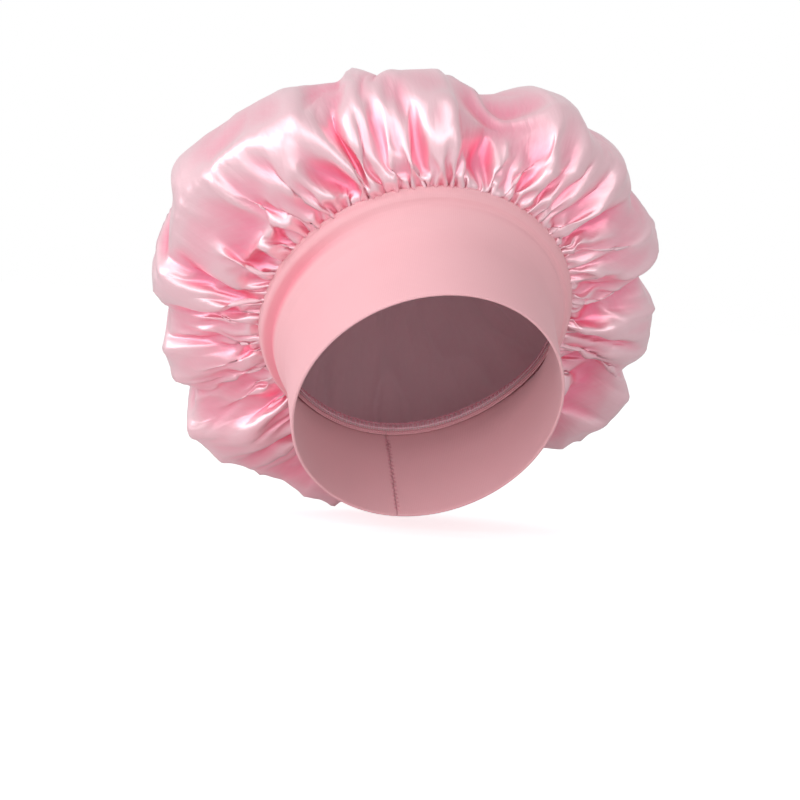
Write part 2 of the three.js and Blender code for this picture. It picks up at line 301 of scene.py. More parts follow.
class BonnetSewing(PropertyGroup):
    """Sizes of the seam elastic and of the sewing threads."""
    elastic_width: length_size("Elastic width", "Width of the flat seam elastic", 5.5)
    elastic_thickness: length_size("Elastic thickness", "Thickness of the elastic", 0.7)
    elastic_inset: length_size("Elastic inset", "Its distance below the seam's top", 0.8)
    satin_layer: length_size("Satin layer", "Room that the turned satin takes", 0.8)
    thread_diameter: length_size("Thread diameter", "Diameter of the sewing thread", 0.4)
    gather_drop: length_size("Gathering row", "Its distance below the seam's top", 0.8)
    needle_drop: length_size("Needle row", "Its distance below the seam's top", 1.75)
    overlock_drop: length_size("Overlock row", "Its distance below the seam's top", 2.7)
    stitch_length: length_size("Stitch length", "Length of one stitch on the seam", 3)
    zigzag_half_width: length_size("Zigzag half width", "Half width of the joining zigzag", 1.6)


class BonnetColours(PropertyGroup):
    """Colours of the cloths and threads, and the painted shade in the satin's folds."""
    satin: cloth_colour("Satin", "Face of the crown's satin", "#f8cdd6")
    # Painted shade: the deeper pink that the satin is mixed towards deep in its folds
    satin_fold_shade: cloth_colour("Satin in its folds", "Satin deep in its folds", "#ff84a6")
    satin_back: cloth_colour("Satin back", "Duller back of the satin", "#fad3dc")
    knit: cloth_colour("Knit", "Band's knit", "#f2bbc1")
    elastic: cloth_colour("Elastic", "Seam elastic", "#f7e3e4")
    thread: cloth_colour("Thread", "Sewing thread", "#f2a9b9")


# The seam's section. A point has its distance out from the opening's oval, its height and
# the share of the flare that it has taken.

def fold_radius(band):
    """Half of the folded strip's thickness."""
    return band.thickness + band.layer_gap / 2


def strand_rise(band):
    """Height of the strip's line above the middle of its fold."""
    return band.rise - fold_radius(band)


def band_line(band, share):
    """The line between the strip's two layers: its point, direction and inward side."""
    flared = max(0.0, (share - band.flare_start) / (1 - band.flare_start))
    flare_share = flared ** band.flare_power
    radius = fold_radius(band)
    point = np.array([radius + band.flare * flare_share, radius + strand_rise(band) * share])
    slope = band.flare * band.flare_power * flared ** (band.flare_power - 1)
    along = np.array([slope / (1 - band.flare_start), strand_rise(band)])
    along /= np.linalg.norm(along)
    return point, along, np.array([-along[1], along[0]]), flare_share


def share_below_seam(band, drop):
    """The share of the strip's line at a distance below the seam's top."""
    return 1 - drop * band_line(band, 1)[1][1] / strand_rise(band)


def seam_point(band, drop, depth):
    """A section point below the seam's top and inwards from the strip's line."""
    point, _, inward, flare_share = band_line(band, share_below_seam(band, drop))
    return np.append(point + inward * depth, flare_share)


def turn_radius(band):
    """Radius of the band's turned top edge."""
    return fold_radius(band) + band.seat_clearance + TURN_ROOM * MM


def around_turn(band, degrees, radius):
    """A section point around the centre of the turned edge. 90 degrees is the inner side."""
    point, along, inward, _ = band_line(band, 1)
    angle = math.radians(degrees)
    centre = point + inward * turn_radius(band)
    return np.append(centre + (along * math.cos(angle) + inward * math.sin(angle)) * radius, 1.0)


def layer_depths(band, sewing):
    """Depths of the elastic, the turned satin and the threads on it."""
    elastic = turn_radius(band) * 2 + fold_radius(band) + band.seat_clearance
    elastic += sewing.elastic_thickness / 2
    satin = elastic + sewing.elastic_thickness / 2 + band.seat_clearance
    satin += sewing.satin_layer / 2
    thread = satin + sewing.satin_layer / 2 + THREAD_ROOM * MM + sewing.thread_diameter / 2
    return elastic, satin, thread


def ring_points(band, angles, section):
    """Set section points round the opening. Angles run from +X round by the front."""
    angles = np.asarray(angles)[:, None]
    out, height, flare = np.atleast_2d(section).T[:, None, :]
    behind = np.clip(-np.sin(angles), 0, 1)
    relief = band.nape_relief * behind ** 2 * (3 - 2 * behind)
    across = band.opening_half_length * np.cos(angles)
    along = -band.opening_half_width * np.sin(angles)
    length = np.hypot(across, along)
    reach = out - relief * flare
    x = band.opening_half_width * np.cos(angles) + across / length * reach
    y = -band.opening_half_length * np.sin(angles) + along / length * reach
    return np.stack([x, y, height + 0 * x], axis=2)


def even_angles(band, section, count):
    """Angles that step evenly along the ring through a section point."""
    fine = np.linspace(0, TURN, 3601)
    ring = ring_points(band, fine, section)[:, 0]
    length = np.concatenate([[0], np.linalg.norm(np.diff(ring, axis=0), axis=1).cumsum()])
    return np.interp(np.arange(count) / count * length[-1], length, fine)


def worn(band, points):
    """Tilt upright points back, as the bonnet is worn."""
    across, back, up = points[..., 0], points[..., 1], points[..., 2]
    c, s = math.cos(band.tilt), math.sin(band.tilt)
    return np.stack([across, back * c + up * s, -back * s + up * c], axis=-1)


# Meshes and nodes

def new_object(name, data):
    """A new object in the scene."""
    added = bpy.data.objects.new(name, data)
    bpy.context.scene.collection.objects.link(added)
    return added


def mesh_object(name, points, faces):
    """A new object at the origin, with its place in its mesh and smooth faces."""
    mesh = bpy.data.meshes.new(name)
    mesh.from_pydata(np.asarray(points).reshape(-1, 3).tolist(), [], faces)
    mesh.shade_smooth()
    mesh.update()
    return new_object(name, mesh)


def guide_object(name, points, closed, directions):
    """A line of points, which knows its directions at each of them."""
    count = len(points)
    mesh = bpy.data.meshes.new(name)
    edges = [(i, (i + 1) % count) for i in range(count if closed else count - 1)]
    mesh.from_pydata(points.tolist(), edges, [])
    for key, vectors in directions.items():
        set_values(mesh, key, "FLOAT_VECTOR", "vector", vectors)
    return new_object(name, mesh)


def set_values(mesh, name, kind, key, values):
    """Give the mesh a named value at each point."""
    attribute = mesh.attributes.new(name, kind, "POINT")
    attribute.data.foreach_set(key, np.asarray(values, dtype=np.float32).ravel())


def set_uv(piece, name, coordinates):
    """Give the piece a UV map in metres of flat cloth, from one pair for each vertex."""
    layer = piece.data.uv_layers.new(name=name)
    corners = np.empty(len(piece.data.loops), dtype=np.int32)
    piece.data.loops.foreach_get("vertex_index", corners)
    layer.data.foreach_set("uv", np.asarray(coordinates, dtype=np.float32)[corners].ravel())


def facing_out(points, faces):
    """Turn the faces of a closed or cup-shaped mesh outwards, by the sign of its volume."""
    volume = 0.0
    for face in faces:
        for i in range(1, len(face) - 1):
            a, b, c = points[face[0]], points[face[i]], points[face[i + 1]]
            volume += float(np.dot(a, np.cross(b, c)))
    return faces if volume > 0 else [tuple(reversed(face)) for face in faces]


def settle(piece, node):
    """Let a piece ride with the bonnet in place of its plain solid."""
    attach(piece, "root")
    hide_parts(node)


def add_node(tree, kind, inputs=None, **settings):
    """Add a node with its settings. An input takes a value, a socket or a node's first output."""
    node = tree.nodes.new(kind)
    for key, value in settings.items():
        setattr(node, key, value)
    for key, value in (inputs or {}).items():
        if isinstance(value, bpy.types.Node):
            value = value.outputs[0]
        if isinstance(value, bpy.types.NodeSocket):
            tree.links.new(value, node.inputs[key])
        else:
            node.inputs[key].default_value = value
    return node


def empty_tree(owner):
    """The node tree of a new material or world, with nothing in it."""
    owner.use_nodes = True
    owner.node_tree.nodes.clear()
    return owner.node_tree


# Materials

def wave(tree, coordinate, spacing):
    """A sine wave along a coordinate, with its crests the given distance apart."""
    angle = add_node(tree, "ShaderNodeMath", {
        0: coordinate, 1: TURN / spacing}, operation="MULTIPLY")
    return add_node(tree, "ShaderNodeMath", {0: angle}, operation="SINE")


def woven_satin(name, colour, fold_shade, roughness, gloss, sheen, floats_shine):
    """Polyester satin, woven with long floats on its face.

    The floats give the face its broad soft shine and its fine streaks along the warp. Deep in
    the folds the colour is mixed towards a deeper pink: painted shade, standing in for light that is
    caught between folds.
    """
    material = bpy.data.materials.new(name)
    tree = empty_tree(material)
    cut = add_node(tree, "ShaderNodeUVMap", uv_map="cut")
    # Floats run about 4 mm along the warp and 0.36 mm across, drawn as coarse as it shows.
    # Slubs are soft bands of uneven yarn, some 17 mm long and 2.4 mm across.
    streaks, slubs = (
        add_node(tree, "ShaderNodeTexNoise", {
            "Vector": add_node(tree, "ShaderNodeMapping", {"Vector": cut, "Scale": scale}),
            "Scale": 1.0, "Detail": detail, "Roughness": fine})
        for scale, detail, fine in (((2800, 240, 1), 2.0, 0.6), ((420, 60, 1), 3.0, 0.55)))
    # Painted shade: the colour turns to the fold-shade colour where the cloth lies deep in its folds
    depth = add_node(tree, "ShaderNodeAttribute", attribute_name="fold_depth")
    deep = add_node(tree, "ShaderNodeMix", {
        0: depth.outputs["Fac"], 6: (*colour, 1), 7: (*fold_shade, 1)}, data_type="RGBA")
    pale = tuple(0.75 * c + 0.25 for c in colour)
    lighter = add_node(tree, "ShaderNodeMapRange", {0: slubs, 1: 0.35, 2: 0.75, 3: 0.0, 4: 0.14})
    tinted = add_node(tree, "ShaderNodeMix", {
        0: lighter, 6: deep.outputs[2], 7: (*pale, 1)}, data_type="RGBA")
    rough = add_node(tree, "ShaderNodeMapRange", {
        0: streaks, 1: 0.3, 2: 0.7, 3: roughness - 0.04, 4: roughness + 0.05})
    height = add_node(tree, "ShaderNodeMath", {
        0: slubs, 1: 4.0, 2: streaks}, operation="MULTIPLY_ADD")
    weave = add_node(tree, "ShaderNodeBump", {
        "Strength": 0.4, "Distance": 0.05 * MM, "Height": height})
    # Soft creases run out from the seam, some 6 mm apart where the crown is widest
    outward = add_node(tree, "ShaderNodeVectorMath", {0: cut}, operation="NORMALIZE")
    direction = add_node(tree, "ShaderNodeVectorMath", {
        0: outward, 1: (24, 24, 0)}, operation="MULTIPLY")
    radius = add_node(tree, "ShaderNodeVectorMath", {0: cut}, operation="LENGTH")
    run = add_node(tree, "ShaderNodeMath", {
        0: radius.outputs["Value"], 1: 22.0}, operation="MULTIPLY")
    along = add_node(tree, "ShaderNodeCombineXYZ", {2: run})
    place = add_node(tree, "ShaderNodeVectorMath", {0: direction, 1: along}, operation="ADD")
    creases = add_node(tree, "ShaderNodeTexNoise", {
        "Vector": place, "Scale": 1.0, "Detail": 2.0, "Roughness": 0.45, "Distortion": 0.4})
    bump = add_node(tree, "ShaderNodeBump", {
        "Strength": 0.6, "Distance": 1.2 * MM, "Height": creases, "Normal": weave})
    tangent = add_node(tree, "ShaderNodeTangent", direction_type="UV_MAP", uv_map="cut")
    shader = add_node(tree, "ShaderNodeBsdfPrincipled", {
        "Base Color": tinted.outputs[2], "Roughness": rough, "Normal": bump,
        "Tangent": tangent, "Metallic": gloss, "IOR": 1.54, "Anisotropic": 0.5,
        "Specular IOR Level": 0.5 + floats_shine, "Coat Weight": floats_shine,
        "Coat Roughness": 0.35, "Sheen Weight": sheen, "Sheen Roughness": 0.4,
        "Sheen Tint": (1, 0.86, 0.89, 1)})
    add_node(tree, "ShaderNodeOutputMaterial", {0: shader})
    return material


def rib_knit(name, colour):
    """Fine rib knit of polyester and elastane, worn stretched.

    Its face is matt, with very fine upright ribs, rows of stitches and a soft nap.
    """
    material = bpy.data.materials.new(name)
    tree = empty_tree(material)
    strip = add_node(tree, "ShaderNodeUVMap", uv_map="strip")
    split = add_node(tree, "ShaderNodeSeparateXYZ", {0: strip})
    # Ribs stand 1.1 mm apart and rows of stitches 0.8 mm apart on the stretched cloth
    ribs, rows = (wave(tree, split.outputs[i], spacing * MM) for i, spacing in ((0, 1.1), (1, 0.8)))
    stitches = add_node(tree, "ShaderNodeMath", {0: rows, 1: 0.4, 2: ribs},
                        operation="MULTIPLY_ADD")
    # Nap: short fibres about 0.3 mm long. Clouds: the cloth is uneven every 22 mm or so.
    place = add_node(tree, "ShaderNodeTexCoord").outputs["Object"]
    nap, clouds = (
        add_node(tree, "ShaderNodeTexNoise", {
            "Vector": place, "Scale": scale, "Detail": detail, "Roughness": fine})
        for scale, detail, fine in ((3300.0, 2.0, 0.6), (45.0, 3.0, 0.5)))
    height = add_node(tree, "ShaderNodeMath", {
        0: nap, 1: 1.2, 2: stitches}, operation="MULTIPLY_ADD")
    bump = add_node(tree, "ShaderNodeBump", {
        "Strength": 0.25, "Distance": 0.06 * MM, "Height": height})
    darker, pinker = (tuple(c * f for c, f in zip(colour, factors))
                      for factors in ((0.94, 0.84, 0.87), (1.0, 0.55, 0.65)))
    lines = add_node(tree, "ShaderNodeMapRange", {0: stitches, 1: -1.4, 2: 1.4, 3: 0.45, 4: 0.0})
    uneven = add_node(tree, "ShaderNodeMapRange", {0: clouds, 1: 0.3, 2: 0.7, 3: 0.75, 4: 1.25})
    shade = add_node(tree, "ShaderNodeMath", {0: lines, 1: uneven}, operation="MULTIPLY")
    tinted = add_node(tree, "ShaderNodeMix", {
        0: shade, 6: (*colour, 1), 7: (*darker, 1)}, data_type="RGBA")
    # The satin beside the seam throws its pink light on the knit
    glow = add_node(tree, "ShaderNodeAttribute", attribute_name="seam_glow")
    lit = add_node(tree, "ShaderNodeMix", {
        0: glow.outputs["Fac"], 6: tinted.outputs[2], 7: (*pinker, 1)}, data_type="RGBA")
    shader = add_node(tree, "ShaderNodeBsdfPrincipled", {
        "Base Color": lit.outputs[2], "Roughness": 0.85, "Normal": bump,
        "Specular IOR Level": 0.3, "Sheen Weight": 0.25, "Sheen Roughness": 0.5,
        "Sheen Tint": (1, 0.9, 0.92, 1)})
    add_node(tree, "ShaderNodeOutputMaterial", {0: shader})
    return material


def woven_elastic(name, colour):
    """Narrow elastic woven from rubber cores and polyester: lengthwise ribs, matt."""
    material = bpy.data.materials.new(name)
    tree = empty_tree(material)
    strip = add_node(tree, "ShaderNodeUVMap", uv_map="strip")
    split = add_node(tree, "ShaderNodeSeparateXYZ", {0: strip})
    # Rubber cores lie 0.7 mm apart, crossed by a yarn every 0.6 mm
    cores, picks = (wave(tree, split.outputs[i], spacing * MM)
                    for i, spacing in ((1, 0.7), (0, 0.6)))
    weave = add_node(tree, "ShaderNodeMath", {0: picks, 1: 0.5, 2: cores},
                     operation="MULTIPLY_ADD")
    bump = add_node(tree, "ShaderNodeBump", {
        "Strength": 0.5, "Distance": 0.1 * MM, "Height": weave})
    darker = tuple(c * 0.8 for c in colour)
    lines = add_node(tree, "ShaderNodeMapRange", {0: weave, 1: -1.5, 2: 1.5, 3: 1.0, 4: 0.0})
    tinted = add_node(tree, "ShaderNodeMix", {
        0: lines, 6: (*colour, 1), 7: (*darker, 1)}, data_type="RGBA")
    shader = add_node(tree, "ShaderNodeBsdfPrincipled", {
        "Base Color": tinted.outputs[2], "Roughness": 0.8, "Normal": bump,
        "Specular IOR Level": 0.3})
    add_node(tree, "ShaderNodeOutputMaterial", {0: shader})
    return material


def spun_thread(name, colour):
    """Spun polyester sewing thread: matt, twisted, with a slight fuzz."""
    material = bpy.data.materials.new(name)
    tree = empty_tree(material)
    place = add_node(tree, "ShaderNodeTexCoord").outputs["Object"]
    # Plies turn about every 0.5 mm
    plies = add_node(tree, "ShaderNodeTexNoise", {
        "Vector": place, "Scale": 2000.0, "Detail": 2.0, "Roughness": 0.5})
    bump = add_node(tree, "ShaderNodeBump", {
        "Strength": 0.4, "Distance": 0.08 * MM, "Height": plies})
    darker = tuple(c * f for c, f in zip(colour, (0.92, 0.8, 0.84)))
    tinted = add_node(tree, "ShaderNodeMix", {
        0: plies, 6: (*darker, 1), 7: (*colour, 1)}, data_type="RGBA")
    shader = add_node(tree, "ShaderNodeBsdfPrincipled", {
        "Base Color": tinted.outputs[2], "Roughness": 0.6, "Normal": bump,
        "Sheen Weight": 0.2, "Specular IOR Level": 0.4})
    add_node(tree, "ShaderNodeOutputMaterial", {0: shader})
    return material


def painted_floor():
    """A matt white painted floor. Seen directly it is white, and keeps its shadow."""
    material = bpy.data.materials.new("matt_white_paint")
    tree = empty_tree(material)
    place = add_node(tree, "ShaderNodeTexCoord").outputs["Object"]
    grain = add_node(tree, "ShaderNodeTexNoise", {"Vector": place, "Scale": 400.0, "Detail": 2.0})
    bump = add_node(tree, "ShaderNodeBump", {
        "Strength": 0.05, "Distance": 0.1 * MM, "Height": grain})
    paint = add_node(tree, "ShaderNodeBsdfPrincipled", {
        "Base Color": (*linear("#f4f4f4"), 1), "Roughness": 0.9, "Normal": bump,
        "Specular IOR Level": 0.2})
    seen = add_node(tree, "ShaderNodeLightPath").outputs["Is Camera Ray"]
    strength = add_node(tree, "ShaderNodeMath", {0: seen, 1: FLOOR_GLOW}, operation="MULTIPLY")
    glow = add_node(tree, "ShaderNodeEmission", {"Color": (1, 1, 1, 1), "Strength": strength})
    both = add_node(tree, "ShaderNodeAddShader", {0: paint, 1: glow})
    add_node(tree, "ShaderNodeOutputMaterial", {0: both})
    return material


def white_surround():
    """A world that lights the bonnet softly and is white where it is seen."""
    world = bpy.data.worlds.new("studio")
    tree = empty_tree(world)
    path = add_node(tree, "ShaderNodeLightPath")
    level = add_node(tree, "ShaderNodeMapRange", {
        0: path.outputs["Is Glossy Ray"], 3: SURROUND_LEVELS[0], 4: SURROUND_LEVELS[1]})
    # The walls are a little brighter at the left, and white all round where they are seen
    split = add_node(tree, "ShaderNodeSeparateXYZ", {
        0: add_node(tree, "ShaderNodeTexCoord").outputs["Generated"]})
    side = add_node(tree, "ShaderNodeMapRange", {
        0: split, 1: -1.0, 2: 1.0, 3: SURROUND_SIDES[0], 4: SURROUND_SIDES[1]})
    wall = add_node(tree, "ShaderNodeMath", {0: level, 1: side}, operation="MULTIPLY")
    strength = add_node(tree, "ShaderNodeMix", {
        0: path.outputs["Is Camera Ray"], 2: wall, 3: 1.0}, data_type="FLOAT")
    sky = add_node(tree, "ShaderNodeBackground", {"Color": (1, 1, 1, 1), "Strength": strength})
    add_node(tree, "ShaderNodeOutputWorld", {0: sky})
    return world


# The crown's cloth. It is a disc of rings, each with six points more than the one inside
# it, so that its triangles are nearly even, as the simulation needs.

def ring_start(ring):
    """The number of the first point on a ring of the cloth."""
    return 1 + 3 * ring * (ring - 1) if ring else 0


def crown_start(band):
    """The section point at which the crown's cloth leaves the seam."""
    radius = turn_radius(band) + fold_radius(band) + band.seat_clearance + SATIN_ROOM * MM
    return around_turn(band, 50, radius)


def fold_place(angles):
    """The number of the main fold at each angle, and the share of it that is passed."""
    ridges = np.radians(RIDGE_DEGREES + [360])
    angles = np.mod(angles, TURN)
    fold = np.clip(np.searchsorted(ridges, angles, side="right") - 1, 0, len(RIDGE_DEGREES) - 1)
    return fold, (angles - ridges[fold]) / (ridges[fold + 1] - ridges[fold])


def reach_share(angles):
    """The crown's reach at each angle, eased from ridge to ridge."""
    fold, passed = fold_place(angles)
    shares = np.array(REACH_SHARES + REACH_SHARES[:1])
    return shares[fold] + (shares[fold + 1] - shares[fold]) * (0.5 - 0.5 * np.cos(math.pi * passed))


def main_fold_height(angles):
    """Height of the main folds, as a share, and the running number of the fold."""
    fold, passed = fold_place(angles)
    heights = np.array(RIDGE_SHARES + RIDGE_SHARES[:1])
    high = np.where(passed < 0.5, heights[fold], heights[fold + 1])
    low = -np.array(VALLEY_SHARES)[fold]
    crest = (0.5 + 0.5 * np.cos(TURN * passed)) ** RIDGE_POWER
    return low + (high - low) * crest, fold + passed


def chance(angles, count, seed):
    """A smooth run of seeded chance values round the crown."""
    values = np.random.default_rng(seed).normal(0, 1, count + 1)
    values[-1] = values[0]
    return np.interp(np.mod(angles, TURN) / TURN * count, np.arange(count + 1), values)


def crown_form(band, crown, angles, steps=160):
    """The smooth form under the folds: for each angle a line from the seam to the top."""
    start = crown_start(band)
    seam = ring_points(band, angles, start)[:, 0]
    sine, cosine = np.sin(angles), np.cos(angles)
    widest_x = crown.half_width * cosine
    widest_y = crown.nape_shift - crown.half_length * sine
    widest_z = crown.widest_rise - crown.nape_drop * (1 - sine) / 2
    form = np.zeros((len(angles), steps, 3))
    for i, turn in enumerate(np.linspace(0, math.pi, steps)):
        reach = math.sin(turn)
        if turn <= math.pi / 2:
            rise = 1 - (1 - reach ** crown.puff_power) ** (1 / crown.puff_power)
            form[:, i, 0] = seam[:, 0] + (widest_x - seam[:, 0]) * reach
            form[:, i, 1] = seam[:, 1] + (widest_y - seam[:, 1]) * reach
            form[:, i, 2] = start[1] + widest_z * rise
        else:
            top_y = crown.nape_shift + crown.top_shift
            x = widest_x * reach
            y = top_y + (widest_y - top_y) * reach
            back = (y - crown.nape_shift) / crown.half_length
            edge = crown.widest_rise - crown.nape_drop / 2 * (1 + back)
            full = np.sqrt(1 - np.clip((x / crown.half_width) ** 2 + back ** 2, 0, 1))
            form[:, i] = np.stack([x, y, start[1] + edge + (crown.top_rise - edge) * full], 1)
        # The crown reaches further out at some ridges than at others
        fuller = 1 + (reach_share(angles) - 1) * (reach if turn < math.pi / 2 else 1)
        form[:, i, 0] *= fuller
        form[:, i, 1] = crown.nape_shift + (form[:, i, 1] - crown.nape_shift) * fuller
    return form


def along_lines(lines, shares):
    """Points at the given shares of each line's length, and the lines' lengths."""
    steps = np.linalg.norm(np.diff(lines, axis=1), axis=2)
    reached = np.concatenate([np.zeros((len(lines), 1)), steps.cumsum(1)], axis=1)
    points = np.zeros((len(lines), len(shares), 3))
    for i, (line, length) in enumerate(zip(lines, reached)):
        for axis in range(3):
            points[i, :, axis] = np.interp(shares * length[-1], length, line[:, axis])
    return points, reached[:, -1]


def form_normals(form):
    """Unit normals of the smooth form, outwards from a point inside the crown."""
    round_step = np.roll(form, -1, 0) - np.roll(form, 1, 0)
    normals = np.cross(np.gradient(form, axis=1), round_step)
    normals /= np.linalg.norm(normals, axis=2, keepdims=True) + 1e-12
    inside = np.array([0, 20 * MM, 60 * MM])
    return normals * np.sign(((form - inside) * normals).sum(2).mean())


def cut_profile(form_radius, distance, reach):
    """The cut cloth's radius and height at each ring, so that no step along it stretches."""
    radius = form_radius * np.interp(distance / MM, CLOTH_DISTANCES, CLOTH_SHARES)
    radius = np.minimum(radius, reach - distance)
    height = np.zeros_like(radius)
    for k in range(len(radius) - 2, -1, -1):
        step = distance[k] - distance[k + 1]
        radius[k] = max(radius[k], radius[k + 1] - step)
        radius[k] = min(radius[k], reach - distance[k])
        fall = radius[k + 1] - radius[k]
        height[k] = height[k + 1] + math.sqrt(max(0.0, step ** 2 - fall ** 2))
    return radius, height


def cloth_pattern(band, crown):
    """The crown's cloth: folded as designed, without folds, cut, and flat for its weave."""
    shares = 1 - np.arange(crown.rings + 1) / crown.rings
    grid = 720
    form, lengths = along_lines(crown_form(band, crown, np.arange(grid) / grid * TURN), shares)
    normals = form_normals(form)
    form_radius = np.linalg.norm(np.roll(form, -1, 0) - form, axis=2).sum(0) / TURN
    reach = lengths.mean() * crown.cloth_length
    distance = reach * shares
    cut_radius, cut_height = cut_profile(form_radius, distance, reach)
    folded, plain, cut, flat = [], [], [], []
    for k in range(crown.rings + 1):
        count = max(1, 6 * k)
        turn = np.arange(count) / count * TURN
        place = turn / TURN * grid
        column = np.floor(place).astype(int) % grid
        share = place - np.floor(place)

        def at_turns(values, share):
            return values[column] * (1 - share) + values[(column + 1) % grid] * share

        plain.append(at_turns(form[:, k], share[:, None]))
        height = fold_heights(crown, turn, distance[k], form_radius[k], cut_radius[k])
        folded.append(plain[k] + at_turns(normals[:, k], share[:, None]) * height[:, None])
        drawn = at_turns(lengths / lengths.mean(), share)
        cosine, sine = np.cos(turn), -np.sin(turn)
        cut.append(np.stack([cut_radius[k] * cosine * drawn, cut_radius[k] * sine * drawn,
                             cut_height[k] * drawn], 1))
        flat.append(np.stack([(reach - distance[k]) * cosine, (reach - distance[k]) * sine], 1))
    folded, plain, cut, flat = (np.concatenate(rings) for rings in (folded, plain, cut, flat))
    return folded, plain, cut + np.array(CUT_PLACE) * MM, flat, reach


def fold_heights(crown, angles, distance, form_radius, cut_radius):
    """Heights of all folds on one ring, so that they take up the ring's spare cloth."""
    from_seam = distance / MM
    radius = max(form_radius, MM)
    spare = max(1.0, cut_radius / radius) - 1
    # A wave that lengthens its line by this share has this mean square slope
    slope = spare * (4 + 2.47 * spare)
    ramp = np.interp(from_seam, MAIN_FOLD_DISTANCES, MAIN_FOLD_SHARES)
    main_height, fold = main_fold_height(angles)
    main_count = len(RIDGE_DEGREES)
    main_wave = main_count / radius
    # The main folds take up four fifths of it at most, and their uneven ridges a little more
    main = min(crown.main_fold * ramp, math.sqrt(0.8 * slope) / main_wave * 1.15 + ramp * MM)
    left = max(0.0, slope - (main_wave * main) ** 2)
    shares = [np.interp(from_seam, *gathers)
              for gathers in (FINE_GATHERS, MIDDLE_GATHERS, BROAD_GATHERS)]
    waves = (2 * crown.rings, 3 * main_count, 2 * main_count)
    fine, middle, broad = (math.sqrt(left * share / sum(shares)) * radius / count
                           for share, count in zip(shares, waves))
    stray = 0.35 * chance(angles, 40, 5)
    height = main * main_height
    # Each row of gathers has its height, its run, and how uneven it is, with its seed
    for rise, run, uneven, count, seed in (
            (min(broad, crown.broad_fold), TURN * (2 * fold + 0.6 * stray), 0.4, 30, 9),
            (middle, TURN * (3 * fold + stray), 0.35, 42, 6),
            (fine, angles * waves[0], 0.25, 120, 8)):
        height = height + rise * np.cos(run) * (1 + uneven * chance(angles, count, seed))
    return height + fine * 1.2 * np.interp(from_seam, [0, 20], [1, 0])


def ring_triangles(rings):
    """Triangles of the cloth between its rings."""
    triangles = []
    for k in range(1, rings + 1):
        outer, inner, fewer = ring_start(k), ring_start(k - 1), max(1, 6 * (k - 1))
        for sixth in range(6):
            for j in range(k):
                a, b = (outer + (sixth * k + j + i) % (6 * k) for i in (0, 1))
                c, d = (inner + (sixth * (k - 1) + j + i) % fewer for i in (0, 1))
                triangles.append((a, b, c))
                if j < k - 1:
                    triangles.append((c, b, d))
    return np.array(triangles)


def gather_and_puff(cut, folded, triangles, distance_from_edge):
    """Simulate the cloth: it is drawn into its gathers, then let go and puffed out."""
    piece = mesh_object("crown_cloth", cut, triangles.tolist())
    piece.shape_key_add(name="Basis")
    key = piece.shape_key_add(name="gathered")
    key.data.foreach_set("co", folded.ravel())
    held = piece.vertex_groups.new(name="held")
    for i, distance in enumerate(distance_from_edge):
        held.add([i], 1.0 if distance < 1e-9 else INNER_HOLD, "REPLACE")
    cloth = piece.modifiers.new("cloth", "CLOTH")
    settings = cloth.settings
    for name, value in CLOTH_SETTINGS.items():
        setattr(settings, name, value)
    settings.vertex_group_mass = "held"
    settings.effector_weights.gravity = 0
    cloth.collision_settings.use_collision = False
    cloth.collision_settings.use_self_collision = False
    cloth.point_cache.frame_start = 1
    cloth.point_cache.frame_end = LAST_FRAME
    for frame_number, value in GATHERED_KEYS:
        key.value = value
        key.keyframe_insert("value", frame=frame_number)
    for name, (held_value, _) in LET_GO_SETTINGS.items():
        setattr(settings, name, held_value)
    # These settings aren't keyed, because Blender can read them before it has set the keys
    graph = bpy.context.evaluated_depsgraph_get()
    for frame_number in range(1, LAST_FRAME + 1):
        share = eased(float(np.interp(frame_number, LET_GO_FRAMES, [0, 1])))
        ready = piece.evaluated_get(graph).modifiers["cloth"].settings
        for name, (held_value, free_value) in LET_GO_SETTINGS.items():
            setattr(ready, name, held_value + (free_value - held_value) * share)
        bpy.context.scene.frame_set(frame_number)
    draped = bpy.data.meshes.new_from_object(piece.evaluated_get(graph), depsgraph=graph)
    points = np.empty(len(draped.vertices) * 3)
    draped.vertices.foreach_get("co", points)
    piece.data.shape_keys.animation_data_clear()
    cloth_mesh = piece.data
    bpy.data.objects.remove(piece)
    bpy.data.meshes.remove(cloth_mesh)
    bpy.data.meshes.remove(draped)
    bpy.context.scene.frame_set(1)
    return points.reshape(-1, 3)


def longer_folds(points, plain, rings):
    """Draw each fold out along its run, because satin falls in long, smooth folds."""
    grid = 720
    folds = points - plain
    lines = np.zeros((rings + 1, grid, 3))
    for k in range(rings + 1):
        count = max(1, 6 * k)
        ring = folds[ring_start(k):ring_start(k) + count]
        ring = np.concatenate([ring, ring[:1]])
        for axis in range(3):
            lines[k, :, axis] = np.interp(
                np.arange(grid) / grid * count, np.arange(count + 1), ring[:, axis])
    drawn = points.copy()
    for k in range(1, rings):
        # Beside the seam the gathers stay as they are
        reach = FOLD_SPREAD * np.interp(rings - k, *SPREAD_RINGS)
        if reach < 0.05:
            continue
        near = np.arange(max(0, k - SPREAD_REACH), min(rings, k + SPREAD_REACH) + 1)
        near = near[np.abs(near - k) <= rings - k]
        weights = np.exp(-0.5 * ((near - k) / reach) ** 2)
        change = np.tensordot(weights / weights.sum(), lines[near], axes=1) - lines[k]
        change = np.concatenate([change, change[:1]])
        place = np.arange(6 * k) / (6 * k) * grid
        for axis in range(3):
            drawn[ring_start(k):ring_start(k) + 6 * k, axis] += np.interp(
                place, np.arange(grid + 1), change[:, axis])
    return drawn


def cloth_edges(triangles):
    """Each edge of the cloth once, the edge of each triangle side, and how often it is used."""
    sides = np.sort(np.concatenate([
        triangles[:, [0, 1]], triangles[:, [1, 2]], triangles[:, [2, 0]]]), axis=1)
    edges, which, uses = np.unique(sides, axis=0, return_inverse=True, return_counts=True)
    return edges, which.ravel(), uses


def neighbour_sums(edges, values):
    """For each point, the sum of the values at the other ends of its edges."""
    return np.stack([np.bincount(edges[:, 0], values[edges[:, 1], i], len(values))
                     + np.bincount(edges[:, 1], values[edges[:, 0], i], len(values))
                     for i in range(values.shape[1])], axis=1)


